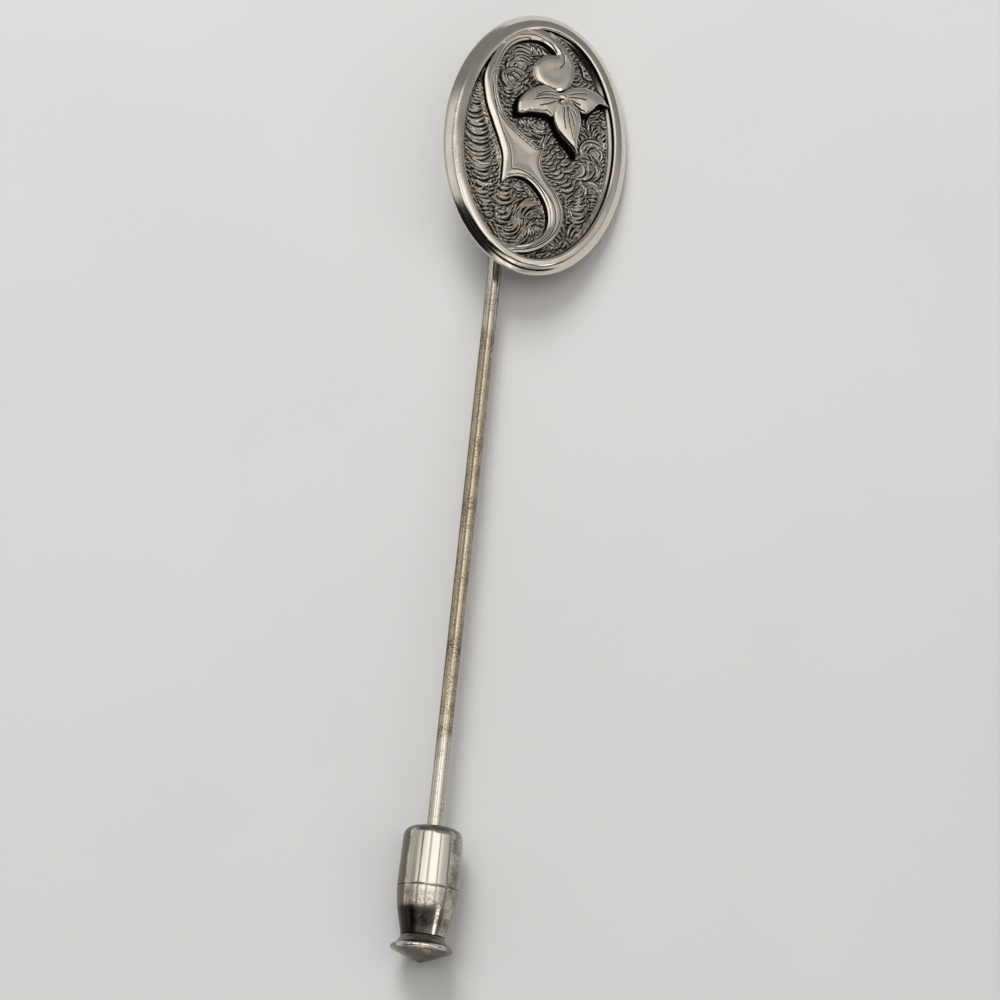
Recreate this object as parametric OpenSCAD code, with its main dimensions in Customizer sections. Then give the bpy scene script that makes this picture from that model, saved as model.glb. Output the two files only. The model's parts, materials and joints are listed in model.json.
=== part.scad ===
/* [Head] */
// Length of the oval head
head_l = 19; // [17:0.5:21]
// Width of the oval head
head_w = 13.2; // [12:0.1:14.5]
// Height of the rim above the flat back
rim_h = 1.2; // [1.1:0.05:1.5]
// Plan width of the rounded slope outside the rim's face
rim_slope_w = 0.47; // [0.3:0.01:0.6]
// Width of the rim's plain face
rim_face_w = 0.73; // [0.5:0.01:0.9]
// Height of the widest part of the edge above the back
edge_h = 0.55; // [0.4:0.05:0.7]
// How far the edge is tucked in at the back
edge_tuck = 0.3; // [0.2:0.05:0.4]
// Height of the sunk ground above the back
ground_h = 0.5; // [0.4:0.05:0.6]
// Distance from the stem's axis to the middle of the head, across the stem
head_offset = 1.25; // [0.8:0.05:1.7]

/* [Raised ornament] */
// Height of the scroll's flat top above the back
scroll_h = 1.17; // [1:0.01:1.4]
// Radius of the round end of the scroll
volute_r = 1.36; // [1.2:0.02:1.5]
// Height of the round end at its middle
volute_h = 1.3; // [1.2:0.02:1.5]
// Height of a petal's edge above the back
petal_edge_h = 1.3; // [1.1:0.02:1.4]
// How far a petal's middle stands above its edge
petal_crown = 0.15; // [0.05:0.01:0.25]
// Radius of the bead in the middle of the flower
bead_r = 0.42; // [0.3:0.01:0.5]
// Height of the leaf cuts' ridges above the sunk ground
leaf_rise = 0.13; // [0.05:0.01:0.2]
// Width of a leaf cut's ridge at its middle
leaf_w = 0.15; // [0.1:0.01:0.2]

/* [Stem] */
// Diameter of the round wire
wire_d = 0.95; // [0.9:0.01:0.96]
// Distance from the stem's axis to the flat back of the head
standoff = 1.6; // [1.5:0.05:1.8]
// Distance from the middle of the head to the stem's point
stem_reach = 53.3; // [53.2:0.1:53.4]
// Length of the ground point
point_l = 2; // [1.5:0.1:2.5]
// Radius of the tip of the point
tip_r = 0.08; // [0.05:0.01:0.15]

/* [Tube on the back] */
// Outer radius of the tube that holds the wire
tube_r = 0.95; // [0.85:0.05:1.1]
// Length of the tube
tube_l = 7; // [5:0.5:9]
// Radius of the tube's hole
tube_bore_r = 0.32; // [0.3:0.01:0.32]

/* [Clutch] */
// Distance from the middle of the head to the top of the clutch
clutch_at = 46.4; // [46.3:0.05:46.5]
// Length of the upper shell, from its top to the seam
sleeve_l = 3.8; // [3.6:0.05:4]
// Length of the lower shell, from the seam to the neck
barrel_l = 3; // [2.9:0.05:3.1]
// Radius of the upper shell below its shoulder
shoulder_r = 1.87; // [1.8:0.01:1.9]
// Radius of both shells at the seam
seam_r = 1.93; // [1.9:0.01:2]
// Height of the rounded shoulder
shoulder_l = 0.65; // [0.5:0.05:0.8]
// Radius of the clutch at the neck
neck_r = 1.38; // [1.3:0.01:1.45]
// Radius of the flared end that is pulled
flare_r = 1.94; // [1.85:0.01:2]
// Length of the neck, from the lower shell to the widest part of the flare
neck_l = 0.8; // [0.7:0.05:0.9]
// Height of the cone below the flare
cone_l = 0.87; // [0.7:0.01:1]
// How far the flared end can be pulled
pull = 1; // [0.5:0.1:1]

/* [Hidden] */

// Gap between pieces that touch on the real pin, which is also the clutch's clearance on the wire,
// and the smaller gap of a close fit
seat_gap = 0.05;
slip_gap = 0.02;
// How far joined shapes run into each other, and how far a cut runs past a face
overlap = 0.1;
past = 1;
wire_r = wire_d / 2;
run_r = wire_r + seat_gap;

// Points round the oval, and steps between two rows of an outline table and of a petal's
oval_steps = 80;
outline_steps = 4;
petal_steps = 3;
// Sides of the dome, of the clutch's shells, of other round parts and of the bead
dome_fn = 128;
shell_fn = 96;
round_fn = 64;
bead_fn = 32;

half_w = head_w / 2;
half_l = head_l / 2;
rim_w = rim_slope_w + rim_face_w;

// How far below the face its outer and inner borders lie, and how far the wall inside the rim leans
face_drop_out = 0.06;
face_drop_in = 0.02;
wall_lean = 0.12;
// Where the tucked edge bends, as shares of its inset and height, and where the face is highest across it
tuck_bend = [0.3, 0.4];
face_crest = 0.45;
// Section through the rim, whose slope is a quarter of an ellipse.
// Columns: inset from the outline, height above the back
rim_section = concat(
    [[edge_tuck, 0], [edge_tuck * tuck_bend[0], edge_h * tuck_bend[1]]],
    [for (a = [0 : 22.5 : 90])
        [rim_slope_w * (1 - cos(a)), edge_h + (rim_h - face_drop_out - edge_h) * sin(a)]],
    [[rim_slope_w + rim_face_w * face_crest, rim_h], [rim_w, rim_h - face_drop_in],
        [rim_w + wall_lean, ground_h]]
);

// The ornament's outlines, on the head's own face. Columns: x to the right, y towards the top
scroll_left = [[-3.25, 6.6], [-3.8, 5.6], [-4.2, 4.5], [-4.3, 3.5], [-3.95, 2], [-3.35, 0.7],
    [-2.75, -0.6], [-2.4, -1.7], [-2.35, -3.4]];
scroll_bowl = [[-2.35, -3.4], [-1.9, -2.95], [-1.2, -2.7], [-0.4, -2.85], [0.4, -3.5], [1, -4.45],
    [1.2, -5.5], [0.95, -6.35], [0.35, -7], [-0.6, -7.5], [-1.6, -7.6], [-2.4, -7.4]];
scroll_right = [[-0.9, -8.1], [0.2, -7.75], [1.1, -7.15], [1.8, -6.3], [2.15, -5.4], [2.2, -4.5],
    [1.9, -3.75], [1.45, -3.1], [0.85, -2.5], [0.4, -1.8], [0.25, -1.2], [0.35, -0.5], [0.45, 0.8]];
scroll_top = [[0.45, 0.8], [0.1, -0.2], [-0.6, 0.05], [-1.4, 0.5], [-2.15, 1], [-2.75, 1.65],
    [-3.1, 2.4], [-3.35, 3.2], [-3.4, 4.1], [-3.3, 5.1], [-2.95, 6.1], [-2.35, 6.8], [-1.6, 7.2],
    [-0.8, 7.35], [-0.1, 7.2], [0.45, 6.85], [0.7, 6.4]];
scroll_arm = [[1.9, 4.9], [2, 5.4], [1.9, 6.1], [1.5, 6.9], [0.9, 7.5], [0.3, 7.85], [-0.25, 8.1],
    [-0.95, 8.25]];
// Where the scroll runs into the rim, at its foot and at its head
scroll_foot = [[-2.7, -7.8], [-1, -8.6]];
scroll_head = [[-1, 8.7], [-2.3, 8.1], [-3.45, 7.1]];

volute_at = [0.52, 5.25];
bead_at = [1.22, 3.46];
bead_sink = 0.1;
// Petals: the middle that each swells over, and its outline from beside the bead round by the tip
petal_left_middle = [-0.4, 2.95];
petal_left = [[0.9, 3.85], [-0.25, 4.05], [-1.05, 3.65], [-1.7, 3], [-1.9, 2.4], [-1.8, 1.75],
    [-0.9, 2], [-0.1, 2.05], [0.7, 2.1], [1.1, 2.9], [0.9, 3.85]];
petal_right_middle = [3, 4];
petal_right = [[1.4, 3.9], [2, 3.1], [2.6, 2.85], [3.1, 2.85], [3.45, 3.1], [3.75, 3.55],
    [4.1, 3.8], [4.6, 3.8], [3.8, 4.45], [2.95, 4.72], [2.15, 4.6], [1.4, 3.9]];
petal_low_middle = [1.8, 1.6];
petal_low = [[0.9, 2.6], [0.82, 1.8], [1.05, 1.05], [1.65, 0.45], [2.3, 0], [2.65, -0.45],
    [2.78, 0.4], [2.8, 1.4], [2.7, 2.3], [2.3, 2.9], [1.5, 3.2], [0.9, 2.6]];
// Section through a petal. Columns: size of the ring against the outline, height above the back
petal_section = [[1, ground_h - overlap], [1, petal_edge_h - 0.05], [0.94, petal_edge_h],
    [0.6, petal_edge_h + petal_crown * 0.7], [0.25, petal_edge_h + petal_crown]];

// Steps from a leaf cut's middle to each end, and how much of its width each step takes off
leaf_steps = 2;
leaf_taper = 0.4;
// Leaf cuts in the sunk ground: rows of curved ridges. Columns: x and y of the first ridge's middle,
// x and y of the last one's, how many, first and last radius, first and last way that they bulge,
// half their angle
leaf_rows = [
    [-4.45, 3.6, -4.5, 2.2, 5, 0.35, 0.4, -85, -85, 50],
    [-4.52, 1.85, -4.5, 0.95, 4, 0.4, 0.5, -88, -88, 55],
    [-4.4, 0.6, -4.3, -0.4, 4, 0.65, 0.8, -78, -75, 55],
    [-4.15, -0.8, -3.75, -2.85, 7, 0.85, 0.85, -86, -90, 58],
    [-3.5, -3.2, -3.35, -3.8, 3, 0.65, 0.65, -82, -82, 58],
    [-3.6, -4.15, -3.2, -4.95, 3, 0.5, 0.55, -82, -82, 60],
    [-3.15, -5.25, -2.85, -5.9, 3, 0.35, 0.32, -80, -80, 60],
    [-1.95, -3.5, -1.85, -4.72, 4, 0.45, 0.75, -88, -78, 60],
    [-0.95, -3.1, -0.85, -3.5, 2, 0.4, 0.5, -90, -90, 55],
    [-1.8, -5.4, -1.55, -5.85, 2, 0.3, 0.6, -60, -60, 75],
    [-1.2, -6.1, -0.65, -6.45, 3, 0.25, 0.8, -45, -45, 75],
    [-0.75, -4.05, 0.1, -4.7, 4, 1.25, 0.4, 140, 120, 60],
    [-0.1, -6.4, 1, -5.8, 5, 0.6, 0.45, -5, 70, 40],
    [1.3, -1.1, 2.65, -2.95, 6, 0.3, 0.45, -35, -65, 60],
    [1.35, 0.1, 2.6, -1.3, 4, 0.28, 0.45, -55, -50, 70],
    [3.2, -1.2, 4.65, -0.75, 4, 0.5, 0.45, -35, -8, 62],
    [3.3, 1.3, 4, 0.75, 3, 1.1, 0.35, 135, 120, 70],
    [3.95, 2.4, 4.35, 2, 2, 0.85, 0.4, 125, 125, 55],
    [3.3, 2.3, 3.6, 2.35, 2, 0.6, 0.6, 185, 185, 40],
    [4.75, -1.7, 4.4, -2.2, 3, 0.75, 0.3, 50, 50, 60],
    [3.6, -2.1, 3.95, -2.3, 2, 0.4, 0.4, 10, 10, 55],
    [3.6, -2.85, 3.45, -4.85, 6, 0.5, 0.65, -60, -85, 58],
    [4.4, -2.95, 4.4, -3.7, 3, 0.3, 0.22, -85, -85, 58],
    [2.85, -5.35, 3.3, -5.6, 2, 0.8, 0.45, 155, 155, 55],
    [0.15, 1.3, 0.1, 0.7, 3, 0.45, 0.75, -86, -86, 55],
    [-0.45, 1.35, -1.25, 1.35, 4, 0.5, 0.4, -135, -145, 45],
    [-1.65, 6.9, -1.6, 5.7, 5, 0.8, 0.5, 92, 88, 52],
    [-0.9, 7, 0.2, 6.95, 4, 0.4, 0.35, 25, 40, 42],
    [-2.5, 4.35, -2.85, 4.05, 3, 0.5, 0.9, 215, 215, 62],
    [-2.35, 3.35, -2.3, 3, 2, 0.45, 0.45, -98, -98, 50],
    [1.2, 8, 2.3, 7.1, 4, 0.4, 0.35, -125, -130, 42],
    [2.75, 6.65, 3.5, 5.6, 3, 0.3, 0.5, -60, -70, 65],
    [0.9, -7.5, 2.2, -6.8, 4, 0.28, 0.28, -35, -40, 45]
];

// Outside of the lower shell. Columns: distance below the seam, radius
barrel_outside = [[0, seam_r], [0.55, seam_r - 0.05], [1.2, seam_r - 0.13], [1.9, seam_r - 0.29],
    [2.55, neck_r + 0.1], [barrel_l, neck_r]];
// Outside of the flared end. Columns: distance below its upper face, radius
flare_l = neck_l - seat_gap;
knob_outside = [[0, neck_r], [0.3, neck_r + 0.1], [0.55, neck_r + 0.3], [flare_l - 0.08, flare_r - 0.03],
    [flare_l, flare_r], [flare_l + 0.07, flare_r - 0.05], [neck_l + cone_l * 0.6, 0.9],
    [flare_l + cone_l, 0]];

// Places along the stem, measured from the middle of the head towards the point
seam_at = clutch_at + sleeve_l;
neck_at = seam_at + barrel_l;
flare_at = neck_at + neck_l;

// The wire's tenon in the tube, and the grip groove just inside the clutch
tube_floor = 1;
tenon_l = tube_l - tube_floor - 0.3;
tenon_root = 0.5;
groove_at = clutch_at + overlap;
groove_l = 0.8;
groove_depth = 0.165;

// Inside of the clutch: guide hole, cavity, the lower shell's spigot, and the knob's shank, collar and stop
guide_l = 1.5;
cavity_r = 1.45;
spigot_l = 1;
spigot_root = 0.5;
shank_r = 0.85;
shank_hole_r = shank_r + slip_gap * 2;
collar_r = 1.1;
collar_l = 0.45;
barrel_bore_r = collar_r + seat_gap;
stop_at = neck_at - 0.8;
collar_at = stop_at - pull - seat_gap - collar_l;
tip_gap = 0.3;

// The pin lies as it does by itself: on the tube's end, the head's right edge and the upper shell
tube_end = tube_l / 2;
pitch = atan((shoulder_r - tube_r) / (tube_end + clutch_at + shoulder_l));
axis_h = tube_r * cos(pitch) + tube_end * sin(pitch);
edge_x = head_offset + half_w - edge_tuck;
roll = asin(axis_h / norm([edge_x, standoff])) + atan2(standoff, edge_x);

// Half the placed pin's extent, so that the origin is under the middle of it
function rolled_x(x, z) = x * cos(roll) + z * sin(roll);
left_x = min([for (q = rim_section) rolled_x(head_offset - half_w + q[0], standoff + q[1])]);
right_x = max([for (q = rim_section) rolled_x(head_offset + half_w - q[0], standoff + q[1])]);
top_y = half_l * cos(pitch) + axis_h * sin(pitch);
tip_y = -(flare_at + cone_l) * cos(pitch);

// A point of a smooth curve through the rows of a table, t of the way from row i to the next
function curve_point(p, i, t) =
    let (a = p[max(i - 1, 0)], b = p[i], c = p[i + 1], d = p[min(i + 2, len(p) - 1)])
    0.5 * (2 * b + (c - a) * t + (2 * a - 5 * b + 4 * c - d) * t * t + (3 * b - a - 3 * c + d) * t * t * t);

// The smooth curve through all rows of a table
function curve(p, n = outline_steps) =
    concat([for (i = [0 : len(p) - 2]) for (k = [0 : n - 1]) curve_point(p, i, k / n)], [p[len(p) - 1]]);

// The same without its last point, for an outline that goes on or closes
function open_curve(p, n = outline_steps) =
    [for (i = [0 : len(p) - 2]) for (k = [0 : n - 1]) curve_point(p, i, k / n)];

// A point of the oval moved in from its outline, at angle a
function oval_point(a, inset) =
    let (n = [cos(a) / half_w, sin(a) / half_l])
    [half_w * cos(a), half_l * sin(a)] - inset * n / norm(n);

// Faces between closed rings of n points each, m rings, with flat caps
function ring_faces(n, m) = concat(
    [[for (i = [0 : n - 1]) i]],
    [for (j = [0 : m - 2]) for (i = [0 : n - 1])
        [j * n + i, (j + 1) * n + i, (j + 1) * n + (i + 1) % n, j * n + (i + 1) % n]],
    [[for (i = [n - 1 : -1 : 0]) (m - 1) * n + i]]
);

// Puts a shape that grows along Z on the stem's axis, with its start s from the middle of the head
module along_stem(s) {
    translate([0, -s, 0])
        rotate([90, 0, 0])
            children();
}

// Lays the pin on the surface
module laid() {
    translate([-(left_x + right_x) / 2, -(top_y + tip_y) / 2, axis_h])
        rotate([-pitch, 0, 0])
            rotate([0, roll, 0])
                children();
}

// Puts a shape on the head's flat back
module on_head() {
    translate([head_offset, 0, standoff])
        children();
}

// The plaque: rim, edge and sunk ground in one closed form
module plaque() {
    rings = [for (q = rim_section) for (i = [0 : oval_steps - 1])
        let (p = oval_point(360 * i / oval_steps, q[0])) [p[0], p[1], q[1]]];
    polyhedron(rings, ring_faces(oval_steps, len(rim_section)), convexity = 4);
}

// The scroll, flat on top and grown out of the rim at both ends
module scroll() {
    outline = concat(open_curve(scroll_left), open_curve(scroll_bowl), scroll_foot,
        open_curve(scroll_right), open_curve(scroll_top), curve(scroll_arm), scroll_head);
    translate([0, 0, ground_h - overlap])
        linear_extrude(height = scroll_h - ground_h + overlap)
            polygon(outline);
}

// The round end of the scroll, slightly domed
module volute() {
    rise = volute_h - scroll_h;
    dome_r = (volute_r * volute_r + rise * rise) / (2 * rise);
    translate([volute_at[0], volute_at[1], 0])
        intersection() {
            translate([0, 0, ground_h - overlap])
                cylinder(h = volute_h, r = volute_r, $fn = round_fn);
            translate([0, 0, volute_h - dome_r])
                sphere(r = dome_r, $fn = dome_fn);
        }
}

// A petal: its outline rises to the edge height and swells to a low crown over its own middle
module petal(rows, middle) {
    outline = open_curve(rows, petal_steps);
    points = [for (q = petal_section) for (p = outline)
        [middle[0] + (p[0] - middle[0]) * q[0], middle[1] + (p[1] - middle[1]) * q[0], q[1]]];
    polyhedron(points, ring_faces(len(outline), len(petal_section)), convexity = 4);
}

// The bead in the middle of the flower
module bead() {
    translate([bead_at[0], bead_at[1], petal_edge_h + petal_crown - bead_sink])
        sphere(r = bead_r, $fn = bead_fn);
}

// One curved ridge, bulging towards the given angle from a middle point
module leaf_ridge(middle, r, way, half) {
    n = leaf_steps;
    outer = [for (k = [-n : n])
        let (a = way + half * k / n) middle + r * [cos(a) - cos(way), sin(a) - sin(way)]];
    inward = -leaf_w * [cos(way), sin(way)];
    inner = [for (k = [n - 1 : -1 : 1 - n]) outer[k + n] + inward * (1 - abs(k) * leaf_taper)];
    translate([0, 0, ground_h - overlap / 2])
        linear_extrude(height = leaf_rise + overlap / 2)
            polygon(concat(outer, inner));
}

// All rows of ridges
module leaf_cuts() {
    for (q = leaf_rows)
        for (k = [0 : q[4] - 1])
            let (t = k / max(q[4] - 1, 1))
                leaf_ridge([q[0], q[1]] * (1 - t) + [q[2], q[3]] * t, q[5] * (1 - t) + q[6] * t,
                    q[7] * (1 - t) + q[8] * t, q[9]);
}

// The soldered tube on the back, with the web that carries it
module tube() {
    web_w = tube_r * 1.2;
    along_stem(-tube_end)
        difference() {
            union() {
                cylinder(h = tube_l, r = tube_r, $fn = round_fn);
                translate([-web_w / 2, 0, 0])
                    cube([web_w, standoff + overlap, tube_l]);
            }
            translate([0, 0, tube_floor])
                cylinder(h = tube_l, r = tube_bore_r, $fn = round_fn);
        }
}

module head() {
    color("silver")
        laid() {
            on_head() {
                plaque();
                leaf_cuts();
                scroll();
                volute();
                petal(petal_left, petal_left_middle);
                petal(petal_right, petal_right_middle);
                petal(petal_low, petal_low_middle);
                bead();
            }
            tube();
        }
}

// Round wire: the tenon in the tube, the free length, a grip groove just inside the clutch and the point
module stem() {
    color([0.72, 0.68, 0.6])
        laid() {
            along_stem(tube_end - tenon_l)
                cylinder(h = tenon_l + tenon_root, r = tube_bore_r - slip_gap, $fn = round_fn);
            along_stem(tube_end + seat_gap)
                cylinder(h = groove_at - tube_end - seat_gap, r = wire_r, $fn = round_fn);
            along_stem(groove_at - overlap)
                cylinder(h = groove_l + 2 * overlap, r = wire_r - groove_depth, $fn = round_fn);
            along_stem(groove_at + groove_l)
                cylinder(h = stem_reach - point_l - groove_at - groove_l, r = wire_r, $fn = round_fn);
            along_stem(stem_reach - point_l)
                cylinder(h = point_l, r1 = wire_r, r2 = tip_r, $fn = round_fn);
        }
}

// Upper shell: rounded shoulder, guide hole for the wire, and the cavity that takes the lower shell
module clutch_sleeve() {
    corner = [for (a = [0 : 15 : 90]) [shoulder_r - shoulder_l * (1 - sin(a)), shoulder_l * (1 - cos(a))]];
    color([0.8, 0.78, 0.72])
        laid()
            along_stem(clutch_at)
                difference() {
                    rotate_extrude($fn = shell_fn)
                        polygon(concat([[0, 0]], corner, [[seam_r, sleeve_l], [0, sleeve_l]]));
                    translate([0, 0, -past])
                        cylinder(h = guide_l + 2 * past, r = run_r, $fn = round_fn);
                    translate([0, 0, guide_l])
                        cylinder(h = sleeve_l, r = cavity_r, $fn = shell_fn);
                }
}

// Lower shell: a spigot inside the upper one, then the taper down to the neck
module clutch_barrel() {
    shell_l = barrel_l - seat_gap;
    outside = [for (q = curve(barrel_outside, 2)) [q[1], q[0] * shell_l / barrel_l]];
    color([0.62, 0.6, 0.56])
        laid()
            along_stem(seam_at)
                difference() {
                    union() {
                        translate([0, 0, seat_gap])
                            rotate_extrude($fn = shell_fn)
                                polygon(concat([[0, 0]], outside, [[0, shell_l]]));
                        translate([0, 0, -spigot_l])
                            cylinder(h = spigot_l + spigot_root, r = cavity_r - slip_gap, $fn = shell_fn);
                    }
                    translate([0, 0, -spigot_l - past])
                        cylinder(h = spigot_l + past + stop_at - seam_at, r = barrel_bore_r, $fn = round_fn);
                    cylinder(h = barrel_l + past, r = shank_hole_r, $fn = round_fn);
                }
}

// Flared end with a shallow cone, on a hollow shank with a collar that keeps it in the lower shell
module clutch_knob() {
    neck_start = neck_at + seat_gap;
    color([0.7, 0.68, 0.64])
        laid()
            difference() {
                union() {
                    along_stem(neck_start)
                        rotate_extrude($fn = shell_fn)
                            polygon(concat([[0, 0]], [for (q = knob_outside) [q[1], q[0]]]));
                    along_stem(collar_at)
                        cylinder(h = neck_start - collar_at + overlap, r = shank_r, $fn = round_fn);
                    along_stem(collar_at)
                        cylinder(h = collar_l, r = collar_r, $fn = round_fn);
                }
                along_stem(collar_at - past)
                    cylinder(h = stem_reach + tip_gap - collar_at + past, r = run_r, $fn = round_fn);
            }
}

head();
stem();
clutch_sleeve();
clutch_barrel();
clutch_knob();
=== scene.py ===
import json
import bpy
import numpy as np
from mathutils import Matrix


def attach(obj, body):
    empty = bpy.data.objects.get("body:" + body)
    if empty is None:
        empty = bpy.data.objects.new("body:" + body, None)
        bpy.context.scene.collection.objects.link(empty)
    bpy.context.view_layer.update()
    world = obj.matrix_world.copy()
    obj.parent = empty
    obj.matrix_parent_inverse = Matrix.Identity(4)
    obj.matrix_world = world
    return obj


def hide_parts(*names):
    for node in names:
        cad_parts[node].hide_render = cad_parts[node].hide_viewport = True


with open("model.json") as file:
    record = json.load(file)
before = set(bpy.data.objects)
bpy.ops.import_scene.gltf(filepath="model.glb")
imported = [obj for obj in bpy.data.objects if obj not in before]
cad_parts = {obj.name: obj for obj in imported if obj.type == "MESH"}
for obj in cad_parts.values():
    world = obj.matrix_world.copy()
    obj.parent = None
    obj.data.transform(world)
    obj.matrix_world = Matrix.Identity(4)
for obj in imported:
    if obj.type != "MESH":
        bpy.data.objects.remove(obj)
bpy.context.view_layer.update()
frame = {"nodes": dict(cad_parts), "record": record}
print("frame: loaded", ", ".join(sorted(frame["nodes"])))

# Where the pin lies. The stem's axis comes from the record's mount, and the head's roll from the sizes
# that it rests on. Lengths on the pin are in millimetres: x across the stem, y towards the head and
# z off the stem's axis
lying = dict(mountDown=25.0, headAside=1.25, standoff=1.6, headWide=13.2, edgeTuck=0.3)
stemMount = frame["record"]["mounts"][0]
stemAxis = np.array(stemMount["axis"]) / np.linalg.norm(stemMount["axis"])
pinOrigin = np.array(stemMount["pos_m"]) * 1000 - lying["mountDown"] * stemAxis
pitch = np.arcsin(stemAxis[2])
restX = lying["headAside"] + lying["headWide"] / 2 - lying["edgeTuck"]
roll = np.arcsin(pinOrigin[2] / np.hypot(restX, lying["standoff"])) + np.arctan2(lying["standoff"], restX)
pitchTurn = np.array([[1, 0, 0],
                      [0, np.cos(pitch), np.sin(pitch)],
                      [0, -np.sin(pitch), np.cos(pitch)]])
rollTurn = np.array([[np.cos(roll), 0, np.sin(roll)],
                     [0, 1, 0],
                     [-np.sin(roll), 0, np.cos(roll)]])
pinTurn = pitchTurn @ rollTurn


def laid(points):
    # Millimetres on the pin to metres in the frame: turned by the roll and the pitch, then moved
    return (points @ pinTurn.T + pinOrigin) / 1000


def onHead(points):
    # Millimetres on the head's back face to millimetres on the pin
    return points + np.array([lying["headAside"], 0, lying["standoff"]])


# Camera, at the photograph's angle
photoView = dict(place=(0.0000425, -0.056977, 0.188187), tilt=16.469, turn=6.006, lens=108.0, sensor=36.0,
                 nearest=0.005)


def makeCamera(v):
    # It looks down and forward by the tilt, turned about its own line of sight
    tilt, turn = np.radians(v["tilt"]), np.radians(v["turn"])
    ahead = np.array([0, np.sin(tilt), -np.cos(tilt)])
    right = np.array([1.0, 0, 0])
    up = np.cross(right, ahead)
    acrossFrame = np.cos(turn) * right + np.sin(turn) * up
    upFrame = np.cos(turn) * up - np.sin(turn) * right
    camera = bpy.data.objects.new("photoCamera", bpy.data.cameras.new("photoCamera"))
    camera.data.lens = v["lens"]
    camera.data.sensor_width = v["sensor"]
    camera.data.clip_start = v["nearest"]
    turned = Matrix(np.column_stack([acrossFrame, upFrame, -ahead]).tolist())
    camera.matrix_world = Matrix.Translation(v["place"]) @ turned.to_4x4()
    bpy.context.scene.collection.objects.link(camera)
    bpy.context.scene.camera = camera


makeCamera(photoView)
print("camera: placed")


class Wire:
    # One output of a node. Sums, differences and products of wires and numbers add Math nodes
    def __init__(self, board, socket):
        self.board = board
        self.socket = socket

    def joined(self, operation, *values):
        return self.board.make("Math", {"operation": operation}, dict(enumerate(values)))

    def __add__(self, other):
        return self.joined("ADD", self, other)

    def __radd__(self, other):
        return self.joined("ADD", other, self)

    def __sub__(self, other):
        return self.joined("SUBTRACT", self, other)

    def __rsub__(self, other):
        return self.joined("SUBTRACT", other, self)

    def __mul__(self, other):
        return self.joined("MULTIPLY", self, other)

    def __rmul__(self, other):
        return self.joined("MULTIPLY", other, self)


class Board:
    # The nodes of one material or of the sky
    def __init__(self, tree):
        self.tree = tree
        tree.nodes.clear()

    def make(self, kind, settings=None, sockets=None, out=0):
        # Adds a node: settings first, with a ramp's stops among them, then its sockets' values or links
        node = self.tree.nodes.new("ShaderNode" + kind)
        for name, value in (settings or {}).items():
            if name == "stops":
                while len(node.color_ramp.elements) < len(value):
                    node.color_ramp.elements.new(0.5)
                for stop, (at, colour) in zip(node.color_ramp.elements, value):
                    stop.position = at
                    stop.color = (*colour, 1)
            else:
                setattr(node, name, value)
        for name, value in (sockets or {}).items():
            if isinstance(value, Wire):
                self.tree.links.new(value.socket, node.inputs[name])
            else:
                node.inputs[name].default_value = value
        return Wire(self, node.outputs[out]) if len(node.outputs) else node

    def blend(self, share, first, second):
        # A colour between two: first where the share is 0, second where it is 1
        colours = {6: (*first, 1) if isinstance(first, tuple) else first,
                   7: (*second, 1) if isinstance(second, tuple) else second}
        return self.make("Mix", {"data_type": "RGBA"}, {0: share, **colours}, out=2)

    def between(self, value, low, high, first=0.0, second=1.0):
        # A smooth step: first below low, second above high
        return self.make("MapRange", {"interpolation_type": "SMOOTHSTEP"},
                         {"Value": value, "From Min": low, "From Max": high,
                          "To Min": first, "To Max": second})

    def ragged(self, mask, noises, span):
        # A mask with an uneven border: a smooth step over the span of mask + sum of share (noise - 0.5)
        for noise, share in noises:
            mask = mask + (noise - 0.5) * share
        return self.between(mask, *span)

    def layer(self, name, out="Fac"):
        # A number, or a vector, that the mesh carries at its points
        return self.make("Attribute", {"attribute_name": name}, out=out)

    def noise(self, place, scale, detail):
        return self.make("TexNoise", {}, {"Vector": place, "Scale": scale, "Detail": detail})

    def drawn(self, place, scale, squeeze):
        # Fine lines: noise on coordinates that are squeezed along their second axis
        thin = self.make("Mapping", {}, {"Vector": place, "Scale": (1.0, squeeze, 1.0)})
        return self.noise(thin, scale, 3.0)

    def metal(self, colour, rough, strength, height):
        # The whole surface of a metal, with fine relief of the given height
        bump = self.make("Bump", {}, {"Strength": strength, "Distance": 0.00002, "Height": height})
        surface = self.make("BsdfPrincipled", {}, {"Base Color": colour, "Metallic": 1.0,
                                                   "Roughness": rough, "Normal": bump})
        self.make("OutputMaterial", {}, {"Surface": surface})


def newMaterial(name):
    material = bpy.data.materials.new(name)
    material.use_nodes = True
    return material, Board(material.node_tree)


# Sky: a bright window above with dark frames between its panes, grey walls beyond it, and a broad dark
# screen beyond the pin's point. Angles are in degrees
sky = dict(wall=0.25, brightest=1.3, warmth=0.955, farEdge=0.36, farEdgeLeft=0.2,
           leftWide=(0.0, 0.22), softEdge=(-0.05, 0.09), screenDark=0.012, screenTop=(-0.28, -0.14),
           screenFoot=(-0.92, -0.68), screenLean=0.3,
           # Columns: angle about the pin's length from straight up, brightness
           panes=[(-100, 0.25), (-85, 0.45), (-55, 0.5), (-49, 0.85), (-43, 0.85), (-40, 0.2),
                  (-36, 0.2), (-33, 1.3), (-12, 1.3), (-8, 0.6), (-3, 0.6), (1, 1.3), (27, 1.3),
                  (30, 0.3), (32, 0.3), (35, 1.08), (44, 0.75), (48, 0.6), (68, 0.5), (72, 0.15),
                  (75, 0.15), (79, 0.5), (100, 0.4)],
           # Columns: direction, inner and outer angle from it, brightness
           patches=[((0.78, -0.29, 0.54), 6, 9, 2.4), ((-0.95, -0.26, 0.17), 2, 5, 1.6)])


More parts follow.
